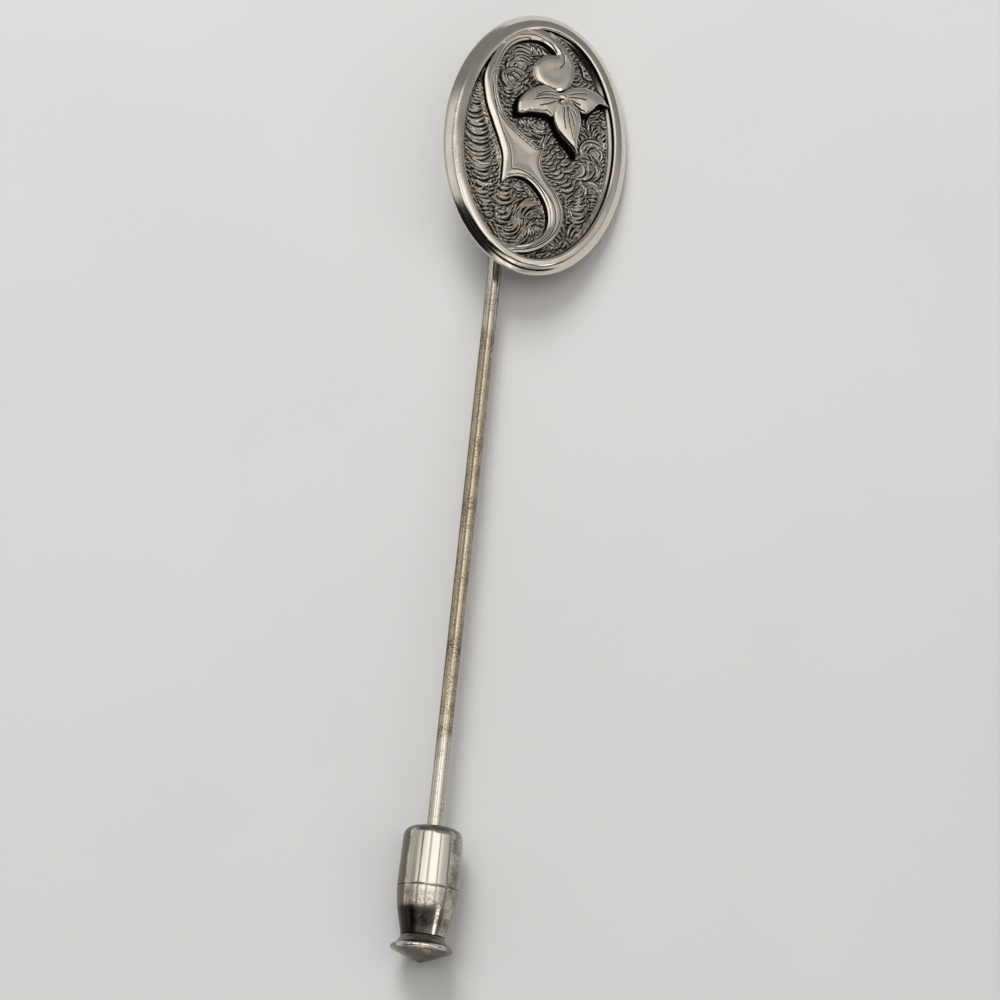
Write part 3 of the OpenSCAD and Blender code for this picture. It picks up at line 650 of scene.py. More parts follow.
# Leaf cuts: rows of curved cuts. Columns: x and y of the first cut's middle, x and y of the last one's,
# how many, first and last radius, first and last way that they bulge, half their angle
leafRows = [
    (-4.25, 4.7, -4.42, 3.0, 9, 0.22, 0.33, -80, -85, 52),
    (-4.48, 2.8, -4.5, 1.5, 7, 0.36, 0.45, -85, -85, 60),
    (-4.45, 1.25, -4.25, 0.3, 4, 0.6, 0.85, -75, -72, 62),
    (-4.2, 0.0, -4.0, -0.9, 4, 0.9, 1.0, -76, -80, 66),
    (-3.98, -1.2, -3.75, -2.85, 7, 1.0, 0.9, -84, -88, 66),
    (-3.5, -3.12, -3.35, -3.9, 4, 0.7, 0.65, -82, -82, 64),
    (-3.65, -4.15, -3.2, -4.95, 4, 0.55, 0.55, -78, -80, 62),
    (-3.2, -5.2, -2.85, -5.95, 4, 0.38, 0.33, -78, -80, 60),
    (-3.5, 0.85, -2.95, -0.5, 5, 0.3, 0.3, -35, -45, 60),
    (-4.0, 5.5, -3.75, 5.0, 2, 0.9, 0.9, 160, 160, 25),
    (-2.85, -3.0, -2.8, -4.3, 5, 0.25, 0.3, -50, -55, 55),
    (-1.95, -3.45, -1.9, -4.42, 4, 0.4, 0.62, -90, -85, 64),
    (-1.85, -4.74, -1.85, -4.74, 1, 0.95, 0.95, -82, -82, 62),
    (-0.98, -3.08, -0.85, -3.5, 3, 0.35, 0.5, -90, -90, 58),
    (-0.15, -3.2, 0.5, -3.75, 3, 0.5, 0.6, 60, 55, 45),
    (-1.75, -5.35, -1.62, -5.72, 2, 0.27, 0.6, -60, -62, 82),
    (-1.95, -6.1, -1.95, -6.1, 1, 0.6, 0.6, -88, -88, 52),
    (-1.17, -6.05, -0.72, -6.35, 4, 0.25, 0.85, -40, -35, 78),
    (-2.5, -5.2, -2.35, -5.9, 3, 0.3, 0.3, 190, 200, 50),
    (0.24, -4.83, -0.39, -3.93, 5, 0.45, 1.55, 125, 125, 58),
    (-0.12, -6.35, 1.05, -5.75, 7, 0.6, 0.4, -8, 72, 45),
    (0.55, -5.15, 0.55, -5.15, 1, 0.25, 0.25, 120, 120, 90),
    (1.25, -1.05, 2.8, -2.65, 7, 0.25, 0.58, -40, -50, 68),
    (1.25, 0.45, 2.7, -1.25, 5, 0.22, 0.5, -52, -52, 72),
    (3.4, -1.15, 4.1, -1.3, 4, 0.35, 0.9, -25, -35, 75),
    (4.55, -0.85, 4.75, -1.0, 2, 0.5, 0.7, -12, -12, 60),
    (3.88, 0.75, 3.42, 1.35, 4, 0.3, 1.0, 125, 125, 78),
    (4.55, 0.5, 4.85, 0.45, 2, 0.3, 0.5, 10, 10, 55),
    (3.3, 2.45, 3.72, 2.3, 3, 0.7, 0.6, 185, 180, 42),
    (3.95, 2.12, 4.32, 1.85, 3, 0.55, 0.3, 150, 140, 66),
    (4.6, 3.1, 4.65, 2.45, 4, 0.33, 0.35, -95, -95, 52),
    (4.8, 1.95, 4.95, 1.1, 4, 0.35, 0.3, -30, -20, 52),
    (4.95, 0.1, 4.95, -2.6, 9, 0.22, 0.22, -35, -40, 50),
    (4.75, -1.75, 4.45, -2.2, 3, 0.8, 0.35, 50, 50, 66),
    (3.5, -1.85, 3.98, -2.25, 3, 0.4, 0.4, 20, 15, 58),
    (3.55, -2.85, 3.45, -4.85, 8, 0.42, 0.75, -55, -82, 64),
    (4.42, -2.75, 4.35, -3.95, 6, 0.33, 0.2, -85, -75, 58),
    (2.85, -4.3, 2.7, -4.5, 2, 0.7, 0.9, 205, 205, 50),
    (2.3, -3.2, 2.55, -4.9, 6, 0.25, 0.25, -140, -160, 45),
    (2.72, -5.25, 3.3, -5.55, 3, 0.85, 0.4, 155, 150, 60),
    (3.85, -5.35, 3.6, -5.9, 3, 0.4, 0.35, -30, -40, 50),
    (2.75, -6.3, 2.3, -6.65, 3, 0.3, 0.22, 60, -60, 55),
    (0.8, -7.5, 2.7, -6.75, 8, 0.24, 0.24, -35, -40, 50),
    (0.2, 1.45, 0.1, 0.6, 5, 0.4, 0.75, -88, -86, 58),
    (-0.5, 1.42, -1.45, 1.35, 5, 0.5, 0.4, -135, -150, 50),
    (-1.7, 6.98, -1.6, 5.85, 6, 0.85, 0.5, 92, 88, 55),
    (-2.05, 5.25, -2.05, 5.25, 1, 1.0, 1.0, 95, 95, 62),
    (-1.05, 7.0, 0.3, 6.85, 7, 0.5, 0.35, 25, 40, 48),
    (-2.45, 4.25, -2.85, 4.0, 4, 0.45, 0.95, 215, 215, 66),
    (-2.4, 3.45, -2.35, 2.95, 3, 0.45, 0.4, -95, -95, 54),
    (-1.15, 4.25, -1.0, 4.15, 2, 0.25, 0.15, -90, -90, 60),
    (-1.85, 4.8, -2.05, 4.5, 2, 0.5, 0.3, 60, 60, 60),
    (-2.75, 6.0, -2.75, 5.3, 4, 0.3, 0.3, 130, 170, 50),
    (0.6, 8.15, 2.6, 7.2, 8, 0.3, 0.4, -125, -140, 46),
    (2.75, 6.75, 3.35, 5.65, 4, 0.3, 0.55, -60, -75, 66),
    (2.45, 6.6, 2.8, 5.9, 4, 0.4, 0.4, 200, 205, 50),
    (3.6, 6.3, 4.1, 5.1, 6, 0.3, 0.3, -40, -60, 50)]


def ovalPoint(angle, inset):
    # Point of the oval outline moved in along its normal: (a cos, b sin) - inset * normal, with one inset
    # for all the points or one for each
    a, b = plaqueSizes["wide"] / 2, plaqueSizes["long"] / 2
    normal = np.stack([np.cos(angle) / a, np.sin(angle) / b], -1)
    normal = normal / np.linalg.norm(normal, axis=-1, keepdims=True)
    return np.stack([a * np.cos(angle), b * np.sin(angle)], -1) - np.asarray(inset)[..., None] * normal


def leafStrokes(g):
    # Every cut as a row: middle, radius, way that it bulges, half its angle, how thick its blade is and its
    # strength. The charted rows come first, each a little uneven, and small cuts fill what they leave free
    uneven = np.random.default_rng(g["seed"])
    strokes = []
    for x0, y0, x1, y1, count, r0, r1, way0, way1, half in leafRows:
        gap = np.hypot(x1 - x0, y1 - y0) / max(count - 1, 1)
        thick = np.clip(0.95 * gap, g["thinnest"], g["thickest"]) if count > 1 else g["single"]
        first = np.array([x0, y0, r0, way0, half, thick, g["faintest"]])
        last = np.array([x1, y1, r1, way1, half, thick, g["faintest"]])
        cuts = first + np.linspace(0, 1, count)[:, None] * (last - first)
        j = uneven.uniform(-1, 1, cuts.shape)
        strokes.append(cuts * (1 + np.array(g["swayShare"]) * j) + np.array(g["swayAdded"]) * j)
    charted = np.concatenate(strokes)
    x, y = np.meshgrid(np.arange(-5.2, 5.3, g["fillAcross"]), np.arange(-8.1, 8.2, g["fillAlong"]))
    x = x + np.where(np.arange(len(x)) % 2, 0.5, 0.0)[:, None] * g["fillAcross"]
    j = uneven.uniform(-1, 1, (5, x.size))
    x, y = x.ravel() + 0.08 * j[0], y.ravel() + 0.06 * j[1]
    way = -80 + 50 * np.sin(1.1 * x + 0.7 * y) + 20 * j[2]
    fill = np.column_stack([x, y, g["fillRadius"] * (1 + 0.25 * j[3]), way, np.full(x.size, g["fillHalf"]),
                            np.full(x.size, g["fillThick"]), 0.6 + 0.2 * j[4]])
    return np.concatenate([charted, fill]), len(charted)


def leafRelief(points, g):
    # Each cut is an arc with a V groove on its line and inside it a blade that is thickest in the middle:
    # thickness = thick (1 - turned^2), height = strength sin(pi share)^0.75
    ridge, groove, taken = np.zeros((3, len(points)))
    strokes, charted = leafStrokes(g)
    for k, (x, y, radius, way, half, thick, strength) in enumerate(strokes):
        way = np.radians(way)
        centre = np.array([x, y]) - radius * np.array([np.cos(way), np.sin(way)])
        box = np.abs(points - [x, y]).max(axis=1)
        near = np.flatnonzero(box < radius * min(1.0, 1.2 * np.sin(np.radians(min(half, 89)))) + 0.3)
        away = points[near] - centre
        inside = radius - np.hypot(*away.T)
        turned = np.arctan2(away[:, 1], away[:, 0]) - way
        turned = np.abs((turned + np.pi) % (2 * np.pi) - np.pi) / np.radians(half)
        fade = np.clip(1 - turned**2, 0, 1)
        share = np.clip(inside / np.maximum(thick * fade, 1e-6), 0, 1)
        blade = np.sin(np.pi * share) ** 0.75 * (fade > 0) * strength
        cut = np.clip(1 - np.abs(inside + 0.02) / g["cutWide"], 0, 1) * np.clip(1.3 * fade, 0, 1)
        free = 1.0 if k < charted else 1 - taken[near]
        if k < charted:
            around = fall(np.abs(inside - thick / 2), 0.16, 0.3)
            taken[near] = np.maximum(taken[near], (turned < 1.1) * around)
        ridge[near] = np.maximum(ridge[near] * (1 - 0.7 * cut * free), blade * free)
        groove[near] = np.maximum(groove[near] * (1 - 0.6 * blade * free), cut * strength * free)
    return ridge, groove


def groundGrid(g):
    # Points, the grid's shape and the border's points: a square grid is spread over a disc,
    # x = s sqrt(1 - t^2 / 2) and y = t sqrt(1 - s^2 / 2), and the disc over the oval ground
    s, t = np.meshgrid(np.linspace(-1, 1, g["acrossCells"] + 1),
                       np.linspace(-1, 1, g["alongCells"] + 1), indexing="ij")
    x, y = s * np.sqrt(1 - t**2 / 2), t * np.sqrt(1 - s**2 / 2)
    angle, reach = np.arctan2(y, x), np.hypot(x, y)
    flat = (reach[..., None] * ovalPoint(angle, g["inset"])).reshape(-1, 2)
    index = np.arange(s.size).reshape(s.shape)
    border = np.concatenate([index[:-1, 0], index[-1, :-1], index[:0:-1, -1], index[0, :0:-1]])
    return flat, s.shape, border


def groundRelief(flat, border, g):
    # Height, darkness and polish at each point. The darkness is oxide, with painted shade on the ground
    # round the petals and a painted highlight, cleared of oxide, along the scroll's left foot. Height =
    # ground + ledges + rising ends + the rim's fillet + leaf cuts and roughness, which stop beside what is
    # raised
    scrollAway = distanceTo(flat, np.concatenate([scrollLoop, scrollLoop[:1]]))
    roundAway = distanceTo(flat, volutePath)
    raisedAway = np.minimum(scrollAway, roundAway)
    petalAway = np.min([distanceTo(flat, curveThrough(petal["outline"] + petal["outline"][:1]))
                        for petal in petalTables.values()], axis=0)
    rimAway = distanceTo(flat, np.concatenate([flat[border], flat[border][:1]])[::3])
    x, y = flat.T
    ridge, groove = leafRelief(flat, g)
    bold = 1 + g["footBold"] * fall(y, *g["boldBelow"]) - g["headFaint"] * smooth(y, *g["faintAbove"])

    # Ledges: a bright one along the scroll's left foot, a high one that the round end leans on, and low
    # ones elsewhere
    leftFoot = (x < g["leftFootEdge"]) * smooth(y, *g["leftFootFrom"]) * fall(y, *g["leftFootTo"])
    near = np.clip(1 - raisedAway / g["ledgeWide"], 0, 1)
    ledge = g["ledgeHigh"] * near**1.5
    ledge += g["footLedge"] * leftFoot * np.clip(1 - scrollAway / g["footLedgeWide"], 0, 1)
    ledge += g["roundLedge"] * fall(roundAway, 0, g["roundLedgeWide"]) * fall(x, *g["roundLedgeLeft"])
    # The ground's two narrow ends at the head rise to the rim, outside the scroll's outer edge
    ends = np.maximum(smooth(y, 4.2, 5.8) * (x < -3.3 - 0.37 * (6.6 - y)),
                      fall(x, 0.0, 1.6) * (y > 8.05 - 0.75 * np.maximum(x + 0.25, 0)))
    beside = g["filletHigh"] * np.clip(1 - rimAway / g["filletWide"], 0, 1) ** 2
    keep = smooth(raisedAway, *g["plainBeside"])
    rough = ripple(flat, 19.0, 0.7) * ripple(flat, 13.0, 2.1)
    relief = g["ridgeHigh"] * ridge - g["cutDeep"] * groove
    height = g["height"] + ledge + g["endsHigh"] * ends + beside + keep * bold * relief
    height += keep * (g["waves"] * ripple(flat, 2.2, 1.3) + g["roughHigh"] * rough * (1 - ridge))
    recess = g["tarnish"] + g["cutDark"] * groove - g["ridgeClean"] * ridge * bold + g["roughDark"] * rough
    recess = np.clip(recess, 0, 1) * smooth(raisedAway, 0, g["plainBeside"][1]) * (1 - 0.45 * ends)
    # Painted highlight: along the scroll's left foot the ground is cleared of oxide and polished. Painted
    # shade: black on the ground round the petals
    lit = leftFoot * fall(scrollAway, *g["footLit"])
    recess = np.maximum(recess * (1 - lit), g["petalShade"] * fall(petalAway, *g["petalShaded"]))
    return height, recess, np.maximum(g["bladeShine"] * ridge, lit)


def makeGround(g):
    # The relief over its grid, closed below by a skirt and a flat face
    flat, shape, border = groundGrid(g)
    height, recess, polish = groundRelief(flat, border, g)
    top = np.column_stack([flat, height])
    skirt = np.column_stack([flat[border], np.full(len(border), g["under"])])
    n, start = len(border), len(flat)
    i = np.arange(n)
    side = np.stack([border, start + i, start + (i + 1) % n, np.roll(border, -1)], 1)
    under = start + i[None, ::-1]
    makePiece("headGround", onHead(np.concatenate([top, skirt])), [gridFaces(*shape), side, under], "pin",
              silver, {"recess": np.concatenate([recess, np.ones(n)]),
                                      "polish": np.concatenate([polish, np.zeros(n)])})


def makePlaque(p):
    # The rim's section carried round the oval, with a flat floor under the ground and a flat back
    angle = np.linspace(0, 2 * np.pi, p["around"], endpoint=False)
    section = np.array(rimSection)
    # The outline is drawn in towards the foot and the right by cos^2 of the angle from each, and rows
    # further in are drawn in less
    drawnIn = p["inBelow"] * np.clip(-np.sin(angle), 0, 1) ** 2
    drawnIn += p["inRight"] * np.clip(np.cos(angle), 0, 1) ** 2
    filled = smooth(np.cos(angle - np.radians(p["filletAt"])), 0.45, 0.75)
    rings = np.stack([np.column_stack([
        ovalPoint(angle, inset + drawnIn * max(0, 1 - inset / p["still"]) + filled * dx),
        z + filled * dz]) for inset, z, _, _, dx, dz in section])
    uneven = ripple(rings.reshape(-1, 3)[:, :2], 0.9, 0.4).reshape(rings.shape[:2])
    inset, z = section[:, :1], section[:, 1:2]
    rings[..., 2] += p["uneven"] * uneven * (z > 0.6)
    rows, n = rings.shape[:2]
    turn = np.broadcast_to(angle * 8, (rows, n))
    track = np.stack([np.broadcast_to(inset + z, (rows, n)), turn, 0 * turn], -1)
    # Darker: a black line on the slope at the foot, and a little grey on the face at the left
    line = np.exp(-((inset - p["lineInset"]) / p["lineWide"]) ** 2) * (z > p["lineAbove"])
    line = line * smooth(np.cos(angle - np.radians(p["lineAt"])), 0.68, 0.9)
    grey = p["grey"] * smooth(-np.cos(angle), 0.75, 0.97) * (z > p["greyAbove"]) * (inset < p["greyInset"])
    dark = np.maximum(section[:, 2:3], np.maximum(line, grey))
    makePiece("headPlaque", onHead(rings.reshape(-1, 3)), ringFaces(rows, n), "pin", silver,
              {"recess": dark.ravel(), "polish": np.repeat(section[:, 3], n), "track": track.reshape(-1, 3)},
              replaced="head", sharp=45)


makePlaque(plaqueSizes)


# Round end of the scroll with the first part of its arm
def makeVolute(v):
    # Rings between its middle and its edge, at the scroll's height plus dome (1 - (distance / radius)^2)
    edge = np.concatenate([volutePath, np.linspace(volutePath[-1], volutePath[0], 12)[1:-1]])
    share = np.concatenate([[0.03], np.linspace(0.06, 0.75, 30), np.linspace(0.77, 1, 24)])
    middle = np.array(v["middle"])
    flat = (middle + share[:, None, None] * (edge - middle)).reshape(-1, 2)
    rings, n = len(share), len(edge)
    height, groove, inward = scrollTop(flat, [volutePath], v["bevelWide"])
    out = np.hypot(*(flat - v["at"]).T) / v["radius"]
    height += v["dome"] * np.clip(1 - out**2, 0, 1)
    points = skirted(np.column_stack([flat, height]), n, scrollSizes["lip"], v["foot"])
    dark = np.concatenate([v["tarnish"] + 0.7 * groove, np.ones(2 * n)])
    bright = np.concatenate([fall(inward, *v["polished"]), np.zeros(2 * n)])
    track = np.pad(flat * [1, 0.6], ((0, 2 * n), (0, 1)))
    makePiece("headVolute", onHead(points), ringFaces(rings + 2, n), "pin", silver,
              {"recess": dark, "polish": bright, "track": track}, sharp=50)


makeVolute(voluteSizes)


# Petals: outlines as tables with the row of the tip, middles, and veins that run out from the bead
petalSizes = dict(edge=1.3, crown=0.15, round=0.2, drop=0.12, lip=0.03, foot=0.4, veinWide=0.06,
                  veinDeep=0.05, tarnish=0.26, polished=(0.1, 0.25), steps=11, rings=44)
petalTables = dict(
    petalLeft=dict(middle=(-0.3, 3.0), tip=8,
                   outline=[(1.25, 3.75), (0.6, 4.05), (0, 4.14), (-0.4, 4.07), (-0.95, 3.75),
                            (-1.5, 3.17), (-1.78, 2.62), (-1.82, 2.2), (-1.74, 1.78), (-1.45, 1.8),
                            (-1, 2.02), (-0.35, 2.13), (0.2, 2.2), (0.75, 2.12), (1.25, 3.1)],
                   veins=[[(0.76, 3.83), (0.05, 3.71), (-0.57, 3.3)],
                          [(0.78, 3.38), (0, 3.2), (-0.75, 2.92)],
                          [(0.76, 3.6), (0.05, 3.5), (-0.65, 3.12)],
                          [(0.8, 3.2), (0.3, 2.88), (-0.3, 2.6)]]),
    petalRight=dict(middle=(2.9, 3.9), tip=8,
                    outline=[(1.2, 3.2), (1.8, 3.37), (2.35, 3.08), (2.77, 2.88), (3.15, 2.95), (3.5, 3.3),
                             (3.8, 3.7), (4.15, 3.93), (4.62, 3.76), (4.15, 4.33), (3.58, 4.6), (2.84, 4.74),
                             (2.2, 4.62), (1.6, 4.33), (1.1, 3.75)],
                    veins=[[(1.67, 3.88), (2.27, 4.11), (2.9, 4.25)], [(1.73, 3.7), (2.3, 3.78), (2.9, 3.8)],
                           [(1.78, 3.55), (2.15, 3.42), (2.5, 3.34)]]),
    petalLow=dict(middle=(1.75, 1.9), tip=7,
                  outline=[(0.85, 3.3), (0.74, 2.5), (0.79, 2), (0.95, 1.6), (1.33, 0.98), (1.88, 0.5),
                           (2.35, 0.12), (2.68, -0.28), (2.64, 0.8), (2.72, 1.6), (2.73, 2.35),
                           (2.55, 2.9), (2.2, 3.2), (1.7, 3.45), (1.3, 3.6)],
                  veins=[[(1.7, 3.03), (2.08, 2.77), (2.3, 2.45)],
                         [(1.61, 2.95), (1.78, 2.23), (1.93, 1.68), (2.25, 0.75)],
                         [(1.65, 2.95), (1.99, 2.41), (2.25, 1.75)],
                         [(1.42, 2.9), (1.46, 2.14), (1.65, 1.4)]]))


def makePetal(name, petal, p):
    # Rings between the middle and the outline: height = edge + crown (1 - share^2), rounded off at the
    # border
    rows = petal["outline"] + petal["outline"][:1]
    outline = curveThrough(rows, p["steps"], [0, petal["tip"], len(rows) - 1])[:-1]
    half = p["rings"] // 2
    share = np.concatenate([[0.02], np.linspace(0.07, 0.8, half), np.linspace(0.82, 1, half)])
    middle = np.array(petal["middle"])
    flat = (middle + share[:, None, None] * (outline - middle)).reshape(-1, 2)
    inward = distanceTo(flat, np.concatenate([outline, outline[:1]]))
    vein = np.min([distanceTo(flat, curveThrough(v)) for v in petal["veins"]], axis=0)
    cut = np.clip(1 - vein / p["veinWide"], 0, 1)
    height = p["edge"] + p["crown"] * (1 - np.repeat(share, len(outline)) ** 2)
    height -= p["drop"] * (1 - np.sqrt(1 - np.clip(1 - inward / p["round"], 0, 1) ** 2))
    rings, n = len(share), len(outline)
    points = skirted(np.column_stack([flat, height - p["veinDeep"] * cut]), n, p["lip"], p["foot"])
    dark = np.concatenate([p["tarnish"] + 0.6 * cut, np.ones(2 * n)])
    bright = np.concatenate([fall(inward, *p["polished"]), np.zeros(2 * n)])
    track = np.pad(flat, ((0, 2 * n), (0, 1)))
    makePiece(name, onHead(points), ringFaces(rings + 2, n), "pin", silver,
              {"recess": dark, "polish": bright, "track": track}, sharp=60)


for petalName, petalTable in petalTables.items():
    makePetal(petalName, petalTable, petalSizes)
makeGround(groundSizes)


# Bead in the middle of the flower: a little more than half a ball
beadSizes = dict(at=(1.22, 3.46), middle=1.35, radius=0.42, lowest=-40, highest=84)


def makeBead(b):
    # Rings of a ball: radius times the cosine of the height angle, from below the petals to the top
    lift = np.radians(np.linspace(b["lowest"], b["highest"], 26))
    angle = np.linspace(0, 2 * np.pi, 64, endpoint=False)
    x = b["at"][0] + b["radius"] * np.cos(lift)[:, None] * np.cos(angle)
    y = b["at"][1] + b["radius"] * np.cos(lift)[:, None] * np.sin(angle)
    z = b["middle"] + b["radius"] * np.sin(lift)[:, None] * np.ones_like(angle)
    points = np.stack([x, y, z], -1).reshape(-1, 3)
    dark = np.repeat(fall(lift, -0.1, 0.35), len(angle))
    makePiece("flowerBead", onHead(points), ringFaces(len(lift), len(angle), True), "pin",
              silver, {"recess": dark, "polish": np.ones(len(points))})


makeBead(beadSizes)


# Tube on the back, soldered on by its web
tubeSizes = dict(radius=0.95, long=7.0, webWide=0.57, webTop=1.62, solder=0.5, bevel=0.12)


def makeTube(t):
    # A keyhole outline, round below and flared into the back above, carried along the stem and drawn in
    # at its ends
    gap = np.arcsin(t["webWide"] / t["radius"])
    arc = np.linspace(np.pi / 2 + gap, 2.5 * np.pi - gap, 60)
    belly = np.stack([t["radius"] * np.cos(arc), t["radius"] * np.sin(arc)], -1)
    rise = np.linspace(0, 1, 8)[1:]
    low = t["radius"] * np.cos(gap)
    right = np.stack([t["webWide"] + t["solder"] * rise**3, low + (t["webTop"] - low) * rise], -1)
    left = right[::-1] * [-1, 1]
    section = np.concatenate([belly, right, left])
    places = np.array([0, 0.25, 0.6, 1, 1.6]) * t["bevel"]
    shrink = np.array([1, 0.55, 0.2, 0.03, 0]) * t["bevel"]
    half = t["long"] / 2
    along = np.concatenate([half - places, np.linspace(half - 0.4, 0.4 - half, 30), (places - half)[::-1]])
    drawnIn = np.concatenate([shrink, np.zeros(30), shrink[::-1]])
    size = np.linalg.norm(section, axis=1, keepdims=True)
    rings = section * (1 - drawnIn[:, None, None] / size)
    y = np.broadcast_to(along[:, None, None], rings[..., :1].shape)
    points = np.concatenate([rings[..., :1], y, rings[..., 1:]], -1)
    rows, n = points.shape[:2]
    dark = 0.25 + 0.5 * smooth(points[..., 2], 0.7, 1.5)
    makePiece("backTube", points.reshape(-1, 3), ringFaces(rows, n, True), "pin", silver,
              {"recess": dark.ravel(), "polish": np.full(rows * n, 0.4)}, sharp=50)


makeTube(tubeSizes)


# Turned pieces: profiles, and the surface that a profile makes about the stem's axis
def fillet(profile, radius, steps=5):
    # Rounds the corners of a profile: each corner becomes a curve between points on its two sides,
    # (1 - t)^2 before + 2 t (1 - t) corner + t^2 after
    profile = np.asarray(profile, float)
    rounded = [profile[:1]]
    t = np.linspace(0, 1, steps)[:, None]
    for before, corner, after in zip(profile[:-2], profile[1:-1], profile[2:]):
        toBefore, toAfter = before - corner, after - corner
        reach = min(radius, 0.45 * np.linalg.norm(toBefore), 0.45 * np.linalg.norm(toAfter))
        start = corner + reach * toBefore / np.linalg.norm(toBefore)
        end = corner + reach * toAfter / np.linalg.norm(toAfter)
        rounded.append((1 - t) ** 2 * start + 2 * t * (1 - t) * corner + t**2 * end)
    return np.concatenate([*rounded, profile[-1:]])


def dense(profile, gap):
    # Adds rows along the straight runs of a profile, so that none is longer than the gap
    rows = [profile[:1]]
    for start, end in zip(profile[:-1], profile[1:]):
        steps = max(1, int(np.ceil(np.linalg.norm(end - start) / gap)))
        rows.append(start + np.linspace(0, 1, steps + 1)[1:, None] * (end - start))
    return np.concatenate(rows)


def makeTurned(name, profile, body, material, replaced, layers, closed=True, n=96):
    # A profile of (radius, place down the stem) rows turned about the stem's axis: x = r cos, z = r sin,
    # y = -place. Closed profiles join their last row to the first, open ones end in points on the axis
    angle = np.linspace(0, 2 * np.pi, n, endpoint=False)
    rounds = profile[profile[:, 0] > 0]
    places = rounds[:, 1]
    rings = len(rounds)
    points = np.stack([rounds[:, :1] * np.cos(angle), -np.repeat(rounds[:, 1:], n, 1),
                       rounds[:, :1] * np.sin(angle)], -1).reshape(-1, 3)
    faceSets = [gridFaces(rings, n, closeRows=closed, closeColumns=True)[:, ::-1]]
    if not closed:
        tips = np.array([[0, -profile[0, 1], 0], [0, -profile[-1, 1], 0]])
        points = np.concatenate([points, tips])
        i = np.arange(n)
        last = (rings - 1) * n
        faceSets.append(np.stack([(i + 1) % n, i, np.full(n, rings * n)], 1))
        faceSets.append(np.stack([last + i, last + (i + 1) % n, np.full(n, rings * n + 1)], 1))
    values = {}
    for layer, rule in layers.items():
        # Rules take the place and the angle as the pin lies, with the roll taken off
        ends = rule(profile[[0, -1], 1], np.zeros(2))
        values[layer] = np.concatenate([rule(places[:, None], angle - roll).ravel(), ends])[:len(points)]
    makePiece(name, points, faceSets, body, material, values, replaced, sharp=40)


# Stem: tenon in the tube, free wire, grip groove and point. Places run down the stem from the head's middle
stemSizes = dict(wire=0.475, tenon=0.30, tenonFrom=-2.2, wireFrom=3.55, grooveFrom=46.5, grooveLong=0.8,
                 groove=0.31, reach=53.3, point=2.0, tip=0.08)


def makeStem(s):
    # Rows of radius and place; the zone layer rises to 1 over the middle of the wire and falls again
    grooveTo = s["grooveFrom"] + s["grooveLong"]
    profile = np.array([(0, s["tenonFrom"]), (s["tenon"], s["tenonFrom"]), (s["tenon"], s["wireFrom"]),
                        (s["wire"], s["wireFrom"]), (s["wire"], s["grooveFrom"]),
                        (s["groove"], s["grooveFrom"]), (s["groove"], grooveTo), (s["wire"], grooveTo),
                        (s["wire"], s["reach"] - s["point"]), (s["tip"], s["reach"]), (0, s["reach"])])
    profile = dense(fillet(profile, 0.04), 0.25)

    def zone(place, angle):
        return smooth(place, 7, 18) * fall(place, 36, 45) + 0 * angle

    def side(place, angle):
        return smooth(-np.cos(angle), 0.6, 0.9) + 0.75 * smooth(np.cos(angle), 0.35, 0.95) + 0 * place

    def score(place, angle):
        across = np.abs(np.cos(angle) + 0.17)
        return fall(across, 0.05, 0.16) * (np.sin(angle) > 0) * fall(place, 30, 44)

    makeTurned("stemWire", profile, "pin", wire, "stem",
               {"zone": zone, "side": side, "score": score}, closed=False, n=120)


makeStem(stemSizes)


# Clutch: upper shell, lower shell and the flared end. Places run down the stem from the head's middle
clutchSizes = dict(start=46.4, seam=50.2, neck=53.2, shoulder=1.87, shoulderHigh=0.65, seamRadius=1.93,
                   bore=0.525, guide=1.5, cavity=1.45, seamGap=0.05, nested=1.0, nestGap=0.02,
                   chamber=1.15, mouth=0.89, mouthLong=0.8)


def flanks(angle):
    # Darker along both sides of the shells, more on the left
    return 1.1 * smooth(-np.cos(angle), 0.66, 0.84) + 0.6 * smooth(np.cos(angle), 0.5, 0.8)


def makeSleeve(c):
    # Closed section: the wire's hole, the rounded shoulder, the outside down to the seam and the inside
    def wear(place, angle):
        return np.maximum(0.9 * fall(place, c["start"] + 0.2, c["start"] + 0.7), flanks(angle))

    corner = np.radians(np.linspace(0, 90, 12))
    shoulder = np.column_stack([c["shoulder"] - c["shoulderHigh"] * (1 - np.sin(corner)),
                                c["start"] + c["shoulderHigh"] * (1 - np.cos(corner))])
    sleeve = np.concatenate([[(c["bore"], c["start"] + 0.04), (c["bore"] + 0.05, c["start"])], shoulder,
                             [(c["seamRadius"], c["seam"] - 0.05), (c["seamRadius"] - 0.05, c["seam"]),
                              (c["cavity"], c["seam"]), (c["cavity"], c["start"] + c["guide"]),
                              (c["bore"], c["start"] + c["guide"])]])
    makeTurned("clutchSleeve", dense(sleeve, 0.2), "clutch", plating, "clutch_sleeve",
               {"wear": wear})


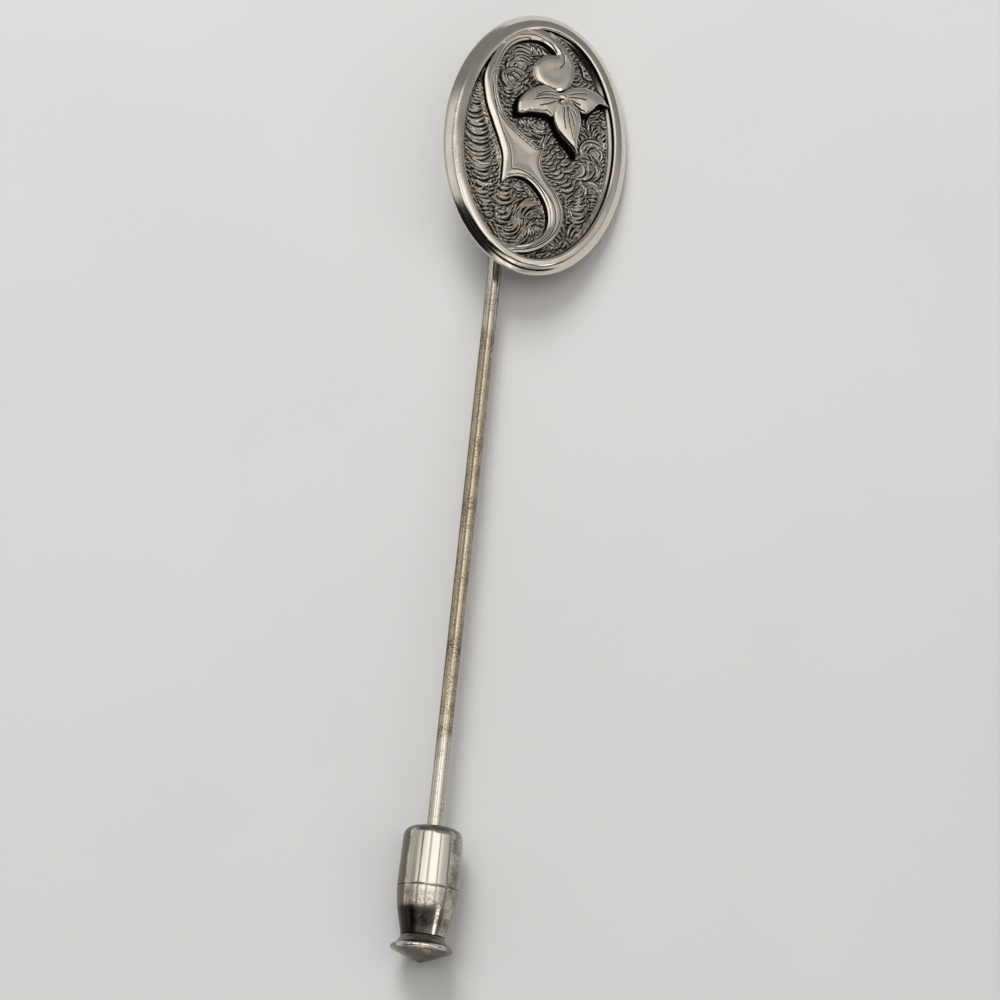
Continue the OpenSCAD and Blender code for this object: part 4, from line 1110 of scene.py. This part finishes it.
def makeBarrel(c):
    # Closed section: the outside from the seam to the neck, the mouth, the chamber and the part that nests
    # in the upper shell. Towards the neck it carries a painted dark reflection, darker on its left side
    def wear(place, angle):
        return np.maximum(flanks(angle), 0.45 * smooth(place, 50.2, 50.8))

    def soot(place, angle):
        # Painted dark reflection: half strength across the middle, full on the left, none on the right
        left = (0.45 + 0.55 * smooth(-np.cos(angle), 0.3, 0.5)) * fall(np.cos(angle), 0.15, 0.35)
        return smooth(place, 51, 52) * left

    # Columns: radius, place below the seam
    outside = curveThrough([(1.93, 0), (1.88, 0.55), (1.8, 1.2), (1.64, 1.9), (1.48, 2.55), (1.38, 3)], 5)
    below = c["neck"] - c["seam"]
    outside = outside * [1, (below - c["seamGap"]) / below] + [0, c["seam"] + c["seamGap"]]
    outside[0, 0] -= 0.04
    nest, mouthFrom = c["cavity"] - c["nestGap"], c["neck"] - c["mouthLong"]
    barrel = np.concatenate([[(nest, c["seam"] + c["seamGap"])], outside,
                             [(c["mouth"], c["neck"]), (c["mouth"], mouthFrom), (c["chamber"], mouthFrom),
                              (c["chamber"], c["seam"] - c["nested"]), (nest, c["seam"] - c["nested"])]])
    makeTurned("clutchBarrel", dense(barrel, 0.2), "clutch", plating, "clutch_barrel",
               {"wear": wear, "soot": soot})


def makeKnob(c):
    # From the floor of its hole by its shank to the cone. It is worn all over but for the front of its
    # rim, left clean as a painted highlight, and the cone carries a painted dark reflection
    def wear(place, angle):
        # Painted highlight: the front of the rim is kept free of dull blotches
        rim = smooth(place, 53.84, 53.9) - smooth(place, 54.08, 54.16)
        return 0.8 - 0.8 * rim * fall(np.abs(np.cos(angle)), 0.6, 0.95)

    def soot(place, angle):
        # Painted dark reflection over the whole cone
        return 0.42 * smooth(place, 54.12, 54.2) + 0 * angle

    # Columns: radius, place down the stem
    knob = np.array([(0, c["neck"] + 0.4), (c["bore"], c["neck"] + 0.4), (c["bore"], 50.9), (1.1, 50.9),
                     (1.1, 51.35), (0.85, 51.35), (0.85, 53.25), (1.38, 53.25), (1.46, 53.5), (1.64, 53.72),
                     (1.88, 53.85), (1.94, 53.92), (1.94, 54.06), (1.87, 54.13), (0.9, 54.53), (0, 54.87)])
    makeTurned("clutchKnob", dense(fillet(knob, 0.06), 0.15), "knob", plating,
               "clutch_knob", {"wear": wear, "soot": soot}, closed=False)


makeSleeve(clutchSizes)
makeBarrel(clutchSizes)
makeKnob(clutchSizes)
